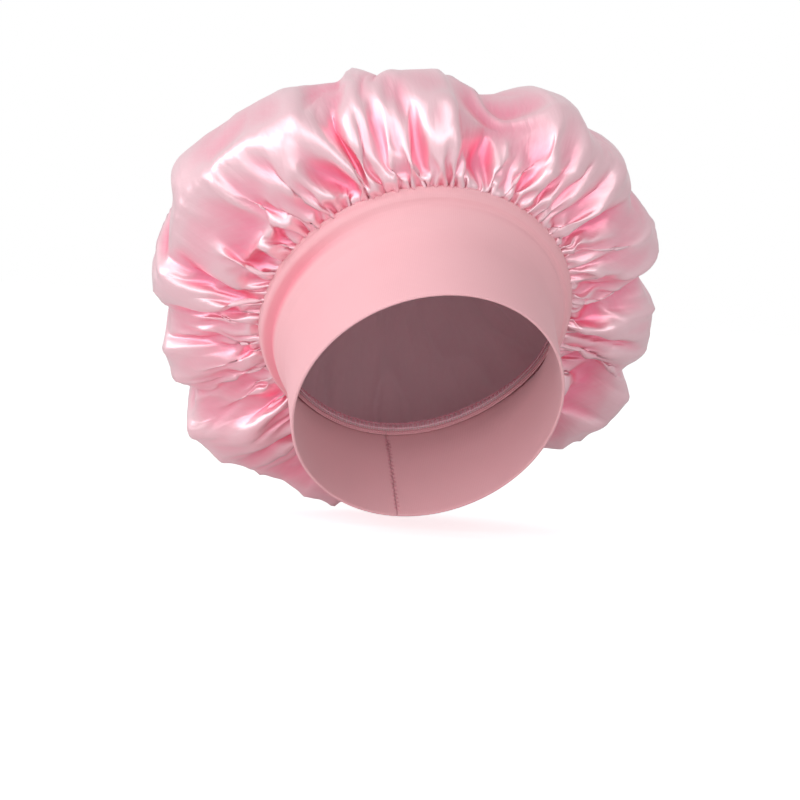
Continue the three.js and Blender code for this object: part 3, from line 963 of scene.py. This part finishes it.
def finer_cloth(points, triangles):
    """Split every triangle in four and round the cloth off, by Loop's weights."""
    edges, which, uses = cloth_edges(triangles)
    far = np.concatenate([triangles[:, 2], triangles[:, 0], triangles[:, 1]])
    inner = uses == 2
    far_sum = np.zeros((len(edges), points.shape[1]))
    np.add.at(far_sum, which, points[far])
    halves = points[edges].sum(1)
    middles = np.where(inner[:, None], halves * 0.375 + far_sum * 0.125, halves * 0.5)
    count = np.bincount(edges.ravel(), minlength=len(points))
    share = np.where(count == 3, 3 / 16, 3 / (8 * np.maximum(count, 1)))[:, None]
    moved = points * (1 - count[:, None] * share) + neighbour_sums(edges, points) * share
    rim = edges[~inner]
    on_rim = np.zeros(len(points), dtype=bool)
    on_rim[rim.ravel()] = True
    moved[on_rim] = points[on_rim] * 0.75 + neighbour_sums(rim, points)[on_rim] * 0.125
    ab, bc, ca = which.reshape(3, -1) + len(points)
    a, b, c = triangles.T
    fine = np.concatenate([np.stack(corners, 1) for corners in (
        (a, ab, ca), (b, bc, ab), (c, ca, bc), (ab, bc, ca))])
    return np.concatenate([moved, middles]), fine


def cloth_normals(points, triangles):
    """Unit normals of the cloth at its points."""
    corners = points[triangles]
    face_normals = np.cross(corners[:, 1] - corners[:, 0], corners[:, 2] - corners[:, 0])
    normals = np.stack([sum(np.bincount(triangles[:, i], face_normals[:, axis], len(points))
                            for i in range(3)) for axis in range(3)], axis=1)
    return normals / (np.linalg.norm(normals, axis=1, keepdims=True) + 1e-15)


def raised(points, triangles, heights):
    """Move the cloth's points out along its normals."""
    return points + cloth_normals(points, triangles) * heights[:, None]


def height_over_cloth(points, triangles):
    """How high each point stands over the cloth around it, in metres."""
    edges = cloth_edges(triangles)[0]
    count = np.bincount(edges.ravel(), minlength=len(points))[:, None]
    smooth = points.copy()
    for _ in range(EVENING_ROUNDS):
        smooth = 0.5 * smooth + 0.5 * neighbour_sums(edges, smooth) / count
    return ((points - smooth) * cloth_normals(smooth, triangles)).sum(1)


def widest_value(values, edges, pick):
    """Spread the highest or lowest value over a few steps around each point."""
    spread = values.copy()
    for _ in range(CREST_STEPS):
        step = spread.copy()
        pick.at(step, edges[:, 0], spread[edges[:, 1]])
        pick.at(step, edges[:, 1], spread[edges[:, 0]])
        spread = step
    return spread


def crest_heights(points, triangles, distance):
    """How far the folds are pinched, because satin stands in thin ridges between flat sides."""
    edges = cloth_edges(triangles)[0]
    height = height_over_cloth(points, triangles)
    high = np.maximum(widest_value(height, edges, np.maximum), CREST_LEAST * MM)
    low = np.minimum(widest_value(height, edges, np.minimum), -CREST_LEAST * MM)
    share = np.clip((height - low) / (high - low), 0, 1)
    pinched = 1 - (1 - share) ** CREST_POWER
    change = (high - low) * (pinched - share) + CREST_RAISE * height
    change = np.clip(change, -CREST_MOST * MM, CREST_MOST * MM)
    return change * np.interp(distance / MM, CREST_DISTANCES, [0, 1])


def eased(share):
    """Ease a share in and out between 0 and 1."""
    return share * share * (3 - 2 * share)


def crease_heights(turn, outward, reach):
    """Heights of the long creases: thin crests between flat sides, which fork and end."""
    values = np.random.default_rng(63).normal(0, 1, (CREASES_ALONG + 2, CREASES_ROUND))
    run = np.clip(outward / reach, 0, 1) * CREASES_ALONG
    place = np.mod((turn + CREASE_STRAY * chance(turn, 24, 22)) / TURN, 1) * CREASES_ROUND
    row, column = np.floor(run).astype(int), np.floor(place).astype(int)
    down, across = eased(run - row), eased(place - column)
    left, right = column % CREASES_ROUND, (column + 1) % CREASES_ROUND
    upper = values[row, left] * (1 - across) + values[row, right] * across
    lower = values[row + 1, left] * (1 - across) + values[row + 1, right] * across
    value = upper * (1 - down) + lower * down
    crest = np.clip(CREASE_WIDTH - np.sqrt(value ** 2 + CREASE_ROUNDNESS), 0, 1) ** 2
    height = np.interp((reach - outward) / MM, CREASE_DISTANCES, CREASE_HEIGHTS) * MM
    return height * (crest - CREASE_MEAN)


def pleat_heights(crown, turn, distance):
    """Heights of the fine pleats that the gathering thread draws beside the seam."""
    height = np.interp(distance / MM, PLEAT_DISTANCES, PLEAT_HEIGHTS) * MM
    uneven = 0.8 + 0.5 * chance(turn, 150, 12)
    wave_height = np.cos(turn * crown.pleats + 1.6 * chance(turn, 90, 11))
    return height * wave_height * np.clip(uneven, 0.2, 1.6)


def directed_edges(triangles):
    """The edges of the triangles, each in the direction in which its triangle runs."""
    return {(int(t[i]), int(t[(i + 1) % 3])) for t in triangles for i in range(3)}


def turned_allowance(band, sewing, crown, points, triangles, flat, reach):
    """Let the cloth go on over the seam and down inside, in pressed pleats."""
    count = 6 * crown.rings
    first = len(points) - count
    turn = np.arange(count) / count * TURN
    satin_depth = layer_depths(band, sewing)[1]
    inner = satin_depth - turn_radius(band)
    outer = np.linalg.norm(crown_start(band)[:2] - around_turn(band, 0, 0)[:2])
    sections = [around_turn(band, 70, (inner + outer) / 2)]
    sections += [seam_point(band, drop, satin_depth)
                 for drop in (0, band.allowance / 2, band.allowance)]
    pleat = np.where(np.arange(count) % 3 == 0, 1.0, -0.5) * PRESSED_PLEAT * MM
    extra, extra_flat, strip = [], [], []
    previous = first + np.arange(count)
    for i, section in enumerate(sections):
        ring = ring_points(band, turn, section)[:, 0]
        deeper = ring_points(band, turn, section + np.array([-MM, 0, 0]))[:, 0]
        extra.append(worn(band, ring + (deeper - ring) / MM * pleat[:, None]))
        radius = reach + (i + 1) * band.allowance / len(sections)
        extra_flat.append(np.stack([radius * np.cos(turn), -radius * np.sin(turn)], 1))
        row = len(points) + i * count + np.arange(count)
        after, previous_after = np.roll(row, -1), np.roll(previous, -1)
        strip += [np.stack([row, after, previous_after], 1),
                  np.stack([row, previous_after, previous], 1)]
        previous = row
    strip = np.concatenate(strip)
    # Each edge of the seam is used once by the cloth, and the strip must run the other way
    edge = (first, first + 1)
    if (edge in directed_edges(triangles[-count * 3:])) == (
            edge in directed_edges(strip[:count * 2])):
        strip = strip[:, [0, 2, 1]]
    return (np.concatenate([points, *extra]), np.concatenate([triangles, strip]),
            np.concatenate([flat, *extra_flat]))


# Pieces that follow the seam

def side_share(angles):
    """How near each angle is to the opening's -X side, from 0 to 1."""
    return np.clip(-SIDE_SLOPE * np.cos(angles) - SIDE_START, 0, 1)


def swept_ring(name, band, section, angles, closed, at_side=None):
    """Sweep a closed section round the opening, with a UV map of the flat strip.

    A second section takes over towards the -X side.
    """
    rings = worn(band, ring_points(band, angles, section))
    if at_side is not None:
        share = side_share(angles)[:, None, None]
        rings = rings * (1 - share) + worn(band, ring_points(band, angles, at_side)) * share
    rows, steps = rings.shape[:2]
    points = rings.reshape(-1, 3)
    faces = []
    for i in range(rows if closed else rows - 1):
        j = (i + 1) % rows
        for k in range(steps):
            n = (k + 1) % steps
            faces.append((i * steps + k, i * steps + n, j * steps + n, j * steps + k))
    if not closed:
        faces.append(tuple(range(steps - 1, -1, -1)))
        faces.append(tuple((rows - 1) * steps + k for k in range(steps)))
    piece = mesh_object(name, points, facing_out(points, faces))
    around, across = (np.concatenate([[0], np.linalg.norm(np.diff(line, axis=0), axis=1).cumsum()])
                      for line in (rings[:, 0], section[:, :2]))
    uv = np.stack(np.broadcast_arrays(around[:, None], across[None, :]), axis=2)
    set_uv(piece, "strip", uv.reshape(-1, 2))
    return piece


def band_lines(band):
    """The strip's line from its fold to its turned end, for each of its layers to follow.

    Each point has its inward side, its share of the flare, and how far the face stands out
    there all round and at the -X side.
    """
    top_length = strand_rise(band) / band_line(band, 1)[1][1]
    # Steps are short near the seam, where the lip and its groove are
    drops = np.concatenate([np.linspace(0.96, 0.36, 16) * top_length,
                            np.arange(24, 0, -0.7) * MM, [0]])
    line = []
    for drop in drops:
        point, _, inward, flare_share = band_line(band, max(0.0, share_below_seam(band, drop)))
        line.append((point, inward, flare_share, [
            np.interp(drop / MM, LIP_DROPS, heights) * MM * band.lip
            for heights in (LIP_HEIGHTS, SIDE_HEIGHTS)]))
    for degrees in (25, 50, 75, 90, 105, 130, 155):
        point = around_turn(band, degrees - 90, turn_radius(band))
        inward = (around_turn(band, 0, 0) - point)[:2] / turn_radius(band)
        line.append((point[:2], inward, 1.0, (0.0, 0.0)))
    for drop in (0, 2, 4, 5.5, band.allowance / MM):
        _, _, inward, flare_share = band_line(band, share_below_seam(band, drop * MM))
        point = seam_point(band, drop * MM, turn_radius(band) * 2)
        line.append((point[:2], -inward, flare_share, (0.0, 0.0)))
    return drops, line


def band_section(band, line, kind):
    """The folded strip's section: down its face, round its fold and up inside."""

    def layer(depth, every=1, raised=True):
        rows = line[::every]
        if rows[-1] is not line[-1]:
            rows = rows + [line[-1]]
        return [np.append(point + inward * (depth - (heights[kind] if raised else 0)), flare)
                for point, inward, flare, heights in rows]

    # The fold at the lower edge, round in section and a little flattened
    radius = fold_radius(band)
    fold = [np.array([radius + math.cos(angle) * radius, radius * (1 - 0.92 * math.sin(angle)), 0.0])
            for angle in np.radians(np.linspace(0, 180, 13))]
    return np.array([
        *reversed(layer(-radius)), *fold, *layer(radius, raised=False),
        *reversed(layer(band.layer_gap / 2, 3, raised=False)),
        *layer(-band.layer_gap / 2, 3, raised=False)])


def stitch_guide(name, band, drop, depth, count=720):
    """A closed line round the seam, which knows its way down and inwards at each point."""
    angles = even_angles(band, seam_point(band, drop, depth), count)
    points, deeper, lower = (
        worn(band, ring_points(band, angles, seam_point(band, *place))[:, 0])
        for place in ((drop, depth), (drop, depth + MM), (drop + MM, depth)))
    return guide_object(name, points, True, {
        "inward": (deeper - points) / MM, "down": (lower - points) / MM})


def join_guide(band, sewing):
    """The line of the join behind, on the inner side of the band."""
    depth = fold_radius(band) + sewing.thread_diameter / 2 + 0.05 * MM
    low = 2.5 * MM / strand_rise(band)
    high = share_below_seam(band, band.allowance + 4 * MM)
    points = []
    for share in np.linspace(low, high, 24):
        point, _, inward, flare_share = band_line(band, share)
        section = np.append(point + inward * depth, flare_share)
        points.append(worn(band, ring_points(band, [NAPE], section)[0, 0]))
    return guide_object("join_guide", np.array(points), False, {
        "across": [(1.0, 0.0, 0.0)] * len(points)})


def stitch_tree(name, sizes, pitch_share, steps, build):
    """A Geometry Nodes tree that cuts its guide into even steps and builds stitches on it."""
    tree = bpy.data.node_groups.new(name, "GeometryNodeTree")
    for label, in_out, kind in (
            ("Geometry", "INPUT", "Geometry"), ("Geometry", "OUTPUT", "Geometry"),
            *((size, "INPUT", "Float") for size in sizes), ("Material", "INPUT", "Material")):
        tree.interface.new_socket(label, in_out=in_out, socket_type="NodeSocket" + kind)
    given = add_node(tree, "NodeGroupInput").outputs
    curve = add_node(tree, "GeometryNodeMeshToCurve", {0: given["Geometry"]})
    length = add_node(tree, "GeometryNodeCurveLength", {0: curve})
    pitch = add_node(tree, "ShaderNodeMath", {
        0: given["Pitch"], 1: pitch_share}, operation="MULTIPLY")
    stitches = add_node(tree, "ShaderNodeMath", {0: length, 1: pitch}, operation="DIVIDE")
    whole = add_node(tree, "ShaderNodeMath", {0: stitches}, operation="ROUND")
    count = add_node(tree, "ShaderNodeMath", {0: whole, 1: steps}, operation="MULTIPLY")
    even = add_node(tree, "GeometryNodeResampleCurve", {
        "Curve": curve, "Count": count}, mode="COUNT")
    real = add_node(tree, "GeometryNodeRealizeInstances", {0: build(tree, given, even)})
    dressed = add_node(tree, "GeometryNodeSetMaterial", {
        "Geometry": real, "Material": given["Material"]})
    add_node(tree, "NodeGroupOutput", {0: dressed})
    return tree


def round_thread(tree, given, line, sides, caps):
    """Give a line the round section of the thread."""
    section = add_node(tree, "GeometryNodeCurvePrimitiveCircle", {
        "Resolution": sides, "Radius": given["Radius"]})
    return add_node(tree, "GeometryNodeCurveToMesh", {
        "Curve": line, "Profile Curve": section, "Fill Caps": caps})


def moved_along(tree, line, moves):
    """Move a line's points along their named directions, each by its own distance."""
    offset = (0, 0, 0)
    for name, distance in moves:
        direction = add_node(tree, "GeometryNodeInputNamedAttribute", {
            "Name": name}, data_type="FLOAT_VECTOR")
        move = add_node(tree, "ShaderNodeVectorMath", {
            0: direction, "Scale": distance}, operation="SCALE")
        offset = add_node(tree, "ShaderNodeVectorMath", {0: offset, 1: move}, operation="ADD")
    return add_node(tree, "GeometryNodeSetPosition", {"Geometry": line, "Offset": offset})


def running_stitches(tree, given, even):
    """Stitches that come up from the cloth and dip back into it, one after another."""
    stitch_length = add_node(tree, "ShaderNodeMath", {
        0: given["Pitch"], 1: given["Gap"]}, operation="SUBTRACT")
    back, near_back, near_front, front = (
        add_node(tree, "ShaderNodeMath", {0: stitch_length, 1: share}, operation="MULTIPLY")
        for share in (-0.5, -0.4, 0.4, 0.5))
    dip, rise = (
        add_node(tree, "ShaderNodeMath", {0: given[size], 1: share}, operation="MULTIPLY")
        for size, share in (("Radius", -2.0), ("Lift", 1.6)))
    ends = [add_node(tree, "ShaderNodeCombineXYZ", {0: x, 2: z})
            for x, z in ((back, dip), (near_back, rise), (near_front, rise), (front, dip))]
    arc = add_node(tree, "GeometryNodeCurvePrimitiveBezierSegment", {
        "Resolution": 8, "Start": ends[0], "Start Handle": ends[1], "End Handle": ends[2],
        "End": ends[3]})
    tangent = add_node(tree, "GeometryNodeInputTangent")
    inward = add_node(tree, "GeometryNodeInputNamedAttribute", {
        "Name": "inward"}, data_type="FLOAT_VECTOR")
    raised = add_node(tree, "FunctionNodeAlignRotationToVector", {"Vector": inward}, axis="Z")
    turned = add_node(tree, "FunctionNodeAlignRotationToVector", {
        "Rotation": raised, "Vector": tangent}, axis="X", pivot_axis="Z")
    return add_node(tree, "GeometryNodeInstanceOnPoints", {
        "Points": even, "Instance": round_thread(tree, given, arc, 6, True), "Rotation": turned})


def overlock_loops(tree, given, even):
    """One thread that climbs the seam inside and wraps round the raw edges."""
    index = add_node(tree, "GeometryNodeInputIndex")
    turn = add_node(tree, "ShaderNodeMath", {
        0: index, 1: TURN / OVERLOCK_STEPS}, operation="MULTIPLY")
    swing = add_node(tree, "ShaderNodeMath", {0: turn}, operation="SINE")
    height = add_node(tree, "ShaderNodeMath", {0: swing}, operation="ABSOLUTE")
    climb = add_node(tree, "ShaderNodeMath", {
        0: height, 1: given["Row Height"]}, operation="MULTIPLY")
    up = add_node(tree, "ShaderNodeMath", {0: climb, 1: -1.0}, operation="MULTIPLY")
    # A steep wave keeps the thread on one face of the seam or on the other
    steep = add_node(tree, "ShaderNodeMath", {0: swing, 1: 2.6}, operation="MULTIPLY")
    side = add_node(tree, "ShaderNodeClamp", {"Value": steep, "Min": -1.0, "Max": 1.0})
    through = add_node(tree, "ShaderNodeMath", {
        0: side, 1: given["Half Depth"]}, operation="MULTIPLY")
    looped = moved_along(tree, even, (("down", up), ("inward", through)))
    return round_thread(tree, given, looped, 5, False)


def joining_zigzag(tree, given, even):
    """A zigzag thread along an open line, which knows its way across at each point."""
    index = add_node(tree, "GeometryNodeInputIndex")
    turn = add_node(tree, "ShaderNodeMath", {0: index, 1: math.pi}, operation="MULTIPLY")
    swing = add_node(tree, "ShaderNodeMath", {0: turn}, operation="COSINE")
    reach = add_node(tree, "ShaderNodeMath", {
        0: swing, 1: given["Half Width"]}, operation="MULTIPLY")
    return round_thread(tree, given, moved_along(tree, even, (("across", reach),)), 8, True)


def sew(name, guide, tree, values):
    """Run a stitch tree on its guide and keep the result as a plain mesh."""
    modifier = guide.modifiers.new("stitches", "NODES")
    modifier.node_group = tree
    for item in tree.interface.items_tree:
        if item.in_out == "INPUT" and item.name != "Geometry":
            modifier[item.identifier] = values[item.name]
    graph = bpy.context.evaluated_depsgraph_get()
    mesh = bpy.data.meshes.new_from_object(guide.evaluated_get(graph), depsgraph=graph)
    if not mesh.polygons:
        raise RuntimeError(name + " came out empty")
    mesh.name = name
    mesh.shade_smooth()
    guide_mesh = guide.data
    bpy.data.objects.remove(guide)
    bpy.data.meshes.remove(guide_mesh)
    return new_object(name, mesh)


class BONNET_OT_camera(Operator):
    """Set the camera where the photograph was taken from"""
    bl_idname = "bonnet.camera"
    bl_label = "Camera"

    def execute(self, context):
        turn, rise, roll = (math.radians(v) for v in (CAMERA_AZIMUTH, CAMERA_RISE, CAMERA_ROLL))
        ahead = Vector((-math.sin(turn) * math.cos(rise), math.cos(turn) * math.cos(rise),
                        -math.sin(rise)))
        level = Vector((math.cos(turn), math.sin(turn), 0))
        upright = level.cross(ahead)
        right = math.cos(roll) * level + math.sin(roll) * upright
        up = -math.sin(roll) * level + math.cos(roll) * upright
        lens = bpy.data.cameras.new("camera")
        lens.sensor_width = 36
        lens.lens = FOCAL_PIXELS * lens.sensor_width / FRAME_PIXELS
        lens.clip_end = 50
        camera = new_object("camera", lens)
        place = (right * CAMERA_RIGHT + up * CAMERA_UP - ahead * CAMERA_DISTANCE) * MM
        turned = Matrix((right, up, -ahead)).transposed().to_4x4()
        camera.matrix_world = Matrix.Translation(place) @ turned
        context.scene.camera = camera
        return {"FINISHED"}


class BONNET_OT_crown(Operator):
    """Gather the satin crown, puff it out and turn its allowance inside"""
    bl_idname = "bonnet.crown"
    bl_label = "Satin crown"

    def execute(self, context):
        band, crown = context.scene.bonnet_band, context.scene.bonnet_crown
        colours, sewing = context.scene.bonnet_colours, context.scene.bonnet_sewing
        folded, plain, cut, flat, reach = cloth_pattern(band, crown)
        triangles = ring_triangles(crown.rings)
        points = worn(band, folded)
        corners = points[triangles]
        if (corners[:, 0] * np.cross(corners[:, 1], corners[:, 2])).sum() < 0:
            triangles = triangles[:, [0, 2, 1]]
        distance = reach - np.linalg.norm(flat, axis=1)
        points = gather_and_puff(worn(band, cut), points, triangles, distance)
        points = longer_folds(points, worn(band, plain), crown.rings)
        points, triangles, flat = turned_allowance(
            band, sewing, crown, points, triangles, flat, reach)
        finer, triangles = finer_cloth(np.concatenate([points, flat], axis=1), triangles)
        points, flat = finer[:, :3], finer[:, 3:]
        outward = np.linalg.norm(flat, axis=1)
        turn = np.mod(np.arctan2(-flat[:, 1], flat[:, 0]), TURN)
        points = raised(points, triangles, crest_heights(points, triangles, reach - outward))
        points = raised(points, triangles, crease_heights(turn, outward, reach))
        points = raised(points, triangles, pleat_heights(crown, turn, reach - outward))
        piece = mesh_object("satin_crown", points, triangles.tolist())
        set_uv(piece, "cut", flat)
        # fold_depth is the mask for the painted shade deep in the satin's folds
        below = -height_over_cloth(points, triangles) / (DEPTH_RANGE * MM)
        set_values(piece.data, "fold_depth", "FLOAT", "value",
                   np.clip(LEVEL_DEPTH + below, 0, 1))
        piece.data.materials.append(woven_satin(
            "polyester_satin_face", colours.satin, colours.satin_fold_shade, roughness=0.32,
            gloss=0.6, sheen=0.1, floats_shine=0.3))
        # The back is painted deeper in its folds too, with the face's colour as its painted shade
        piece.data.materials.append(woven_satin(
            "polyester_satin_back", colours.satin_back, colours.satin, roughness=0.6,
            gloss=0.0, sheen=0.3, floats_shine=0.0))
        wall = piece.modifiers.new("thickness", "SOLIDIFY")
        wall.thickness = crown.cloth_thickness
        wall.offset = -1
        wall.material_offset = 1
        wall.material_offset_rim = 1
        settle(piece, "crown")
        return {"FINISHED"}


class BONNET_OT_band(Operator):
    """Fold the knit strip, flare it to the seam and turn its raw edges inside"""
    bl_idname = "bonnet.band"
    bl_label = "Knit band"

    def execute(self, context):
        band, colours = context.scene.bonnet_band, context.scene.bonnet_colours
        drops, line = band_lines(band)
        all_round, at_side = (band_section(band, line, kind) for kind in (0, 1))
        half_gap = END_GAP / 2 * MM / band.opening_half_width
        angles = np.linspace(NAPE + half_gap, NAPE + TURN - half_gap, band.columns)
        piece = swept_ring("folded_knit_band", band, all_round, angles, False, at_side)
        # The section starts at the turned end of the outer layer and goes down its face
        start = len(line) - len(drops)
        glow = np.zeros((2, len(all_round)))
        for kind, shares in enumerate((GLOW_SHARES, SIDE_GLOW_SHARES)):
            glow[kind, start:len(line)] = np.interp(drops[::-1] / MM, GLOW_DROPS, shares)
        near = side_share(angles)[:, None] ** GLOW_POWER
        set_values(piece.data, "seam_glow", "FLOAT", "value",
                   glow[0] * (1 - near) + glow[1] * near)
        piece.data.materials.append(rib_knit("polyester_rib_knit", colours.knit))
        settle(piece, "band")
        return {"FINISHED"}


class BONNET_OT_elastic(Operator):
    """Lay the flat woven elastic in the seam"""
    bl_idname = "bonnet.elastic"
    bl_label = "Seam elastic"

    def execute(self, context):
        band, sewing = context.scene.bonnet_band, context.scene.bonnet_sewing
        depth = layer_depths(band, sewing)[0]
        half = sewing.elastic_thickness / 2
        drops = sewing.elastic_inset + np.linspace(0, 1, 9) * sewing.elastic_width
        swell = [0.35, 0.9, 1, 1, 1, 1, 1, 0.9, 0.35]
        near, deep = ([seam_point(band, d, depth + side * half * s) for d, s in zip(drops, swell)]
                      for side in (-1, 1))
        angles = even_angles(band, near[4], 288)
        piece = swept_ring("seam_elastic_braid", band, np.array(near + deep[::-1]), angles, True)
        colour = context.scene.bonnet_colours.elastic
        piece.data.materials.append(woven_elastic("woven_elastic", colour))
        settle(piece, "seam_elastic")
        return {"FINISHED"}


class BONNET_OT_threads(Operator):
    """Sew the seam: gathering row, needle row, overlock loops and the band's join"""
    bl_idname = "bonnet.threads"
    bl_label = "Sewing threads"

    def execute(self, context):
        band, sewing = context.scene.bonnet_band, context.scene.bonnet_sewing
        depth = layer_depths(band, sewing)[2]
        inner = turn_radius(band)
        edge = band.allowance + OVERLOCK_PAST * MM
        sunk = depth - STITCH_SINK * MM
        running = stitch_tree("running_stitches", ["Pitch", "Gap", "Lift", "Radius"],
                              1.0, 1.0, running_stitches)
        overlock = stitch_tree("overlock_loops", ["Pitch", "Row Height", "Half Depth", "Radius"],
                               1.0, OVERLOCK_STEPS, overlock_loops)
        zigzag = stitch_tree("joining_zigzag", ["Pitch", "Half Width", "Radius"],
                             0.5, 1.0, joining_zigzag)
        shared = {
            "Material": spun_thread("spun_polyester_thread", context.scene.bonnet_colours.thread),
            "Radius": sewing.thread_diameter / 2, "Pitch": sewing.stitch_length,
            "Gap": STITCH_GAP * MM, "Lift": STITCH_LIFT * MM, "Row Height": edge - sewing.overlock_drop,
            "Half Depth": (depth - inner) / 2, "Half Width": sewing.zigzag_half_width}
        rows = (
            ("gathering_stitches", "gathering_thread", running, GATHERING_PITCH,
             stitch_guide("gathering_guide", band, sewing.gather_drop, sunk)),
            ("needle_stitches", "seam_needle_thread", running, 1.0,
             stitch_guide("needle_guide", band, sewing.needle_drop, sunk)),
            ("overlock_stitches", "overlock_thread", overlock, 1.0,
             stitch_guide("overlock_guide", band, edge, (depth + inner) / 2)),
            ("band_join_stitches", "band_join_thread", zigzag, 1.0, join_guide(band, sewing)))
        for name, node, tree, longer, guide in rows:
            piece = sew(name, guide, tree, {**shared, "Pitch": sewing.stitch_length * longer})
            settle(piece, node)
        return {"FINISHED"}


class BONNET_OT_stage(Operator):
    """Set the pale floor, the white surround and the soft studio lamps"""
    bl_idname = "bonnet.stage"
    bl_label = "Stage"

    def execute(self, context):
        context.scene.view_settings.view_transform = "Standard"
        height = min(cad_box[0][2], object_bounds()[0][2]) - FLOOR_DROP * MM
        rim = [(FLOOR_RADIUS * math.cos(a), FLOOR_RADIUS * math.sin(a), height)
               for a in (TURN * i / FLOOR_STEPS for i in range(FLOOR_STEPS))]
        faces = [(0, i + 1, (i + 1) % FLOOR_STEPS + 1) for i in range(FLOOR_STEPS)]
        floor = mesh_object("floor", [(0, 0, height), *rim], faces)
        floor.data.materials.append(painted_floor())
        floor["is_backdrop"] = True
        context.scene.world = white_surround()
        for name, place, size, power in LAMPS:
            light = bpy.data.lights.new(name, "AREA")
            light.shape = "SQUARE"
            light.size = size
            light.energy = power
            lamp = new_object(name, light)
            lamp.location = place
            aim = Vector(LAMP_AIM) - Vector(place)
            lamp.rotation_euler = aim.to_track_quat("-Z", "Y").to_euler()
        return {"FINISHED"}


class BONNET_PT_panel(Panel):
    """Lists the bonnet's sizes, colours and pieces in the sidebar"""
    bl_label = "Bonnet"
    bl_idname = "BONNET_PT_panel"
    bl_space_type = "VIEW_3D"
    bl_region_type = "UI"
    bl_category = "Bonnet"

    def draw(self, context):
        for group in GROUPS:
            settings = getattr(context.scene, group)
            box = self.layout.box()
            for key in settings.__annotations__:
                box.prop(settings, key)
        for operator in OPERATORS:
            self.layout.operator(operator.bl_idname)


GROUPS = {"bonnet_band": BonnetBand, "bonnet_crown": BonnetCrown,
          "bonnet_sewing": BonnetSewing, "bonnet_colours": BonnetColours}
OPERATORS = (BONNET_OT_camera, BONNET_OT_band, BONNET_OT_elastic, BONNET_OT_crown,
             BONNET_OT_threads, BONNET_OT_stage)


def register():
    for cls in (*GROUPS.values(), *OPERATORS, BONNET_PT_panel):
        bpy.utils.register_class(cls)
    for name, group in GROUPS.items():
        setattr(bpy.types.Scene, name, PointerProperty(type=group))


def unregister():
    for name in GROUPS:
        delattr(bpy.types.Scene, name)
    for cls in reversed((*GROUPS.values(), *OPERATORS, BONNET_PT_panel)):
        bpy.utils.unregister_class(cls)


def main():
    register()
    bpy.ops.bonnet.camera()
    bpy.ops.bonnet.band()
    bpy.ops.bonnet.elastic()
    bpy.ops.bonnet.crown()
    bpy.ops.bonnet.threads()
    bpy.ops.bonnet.stage()
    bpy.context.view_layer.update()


if __name__ == "__main__":
    main()
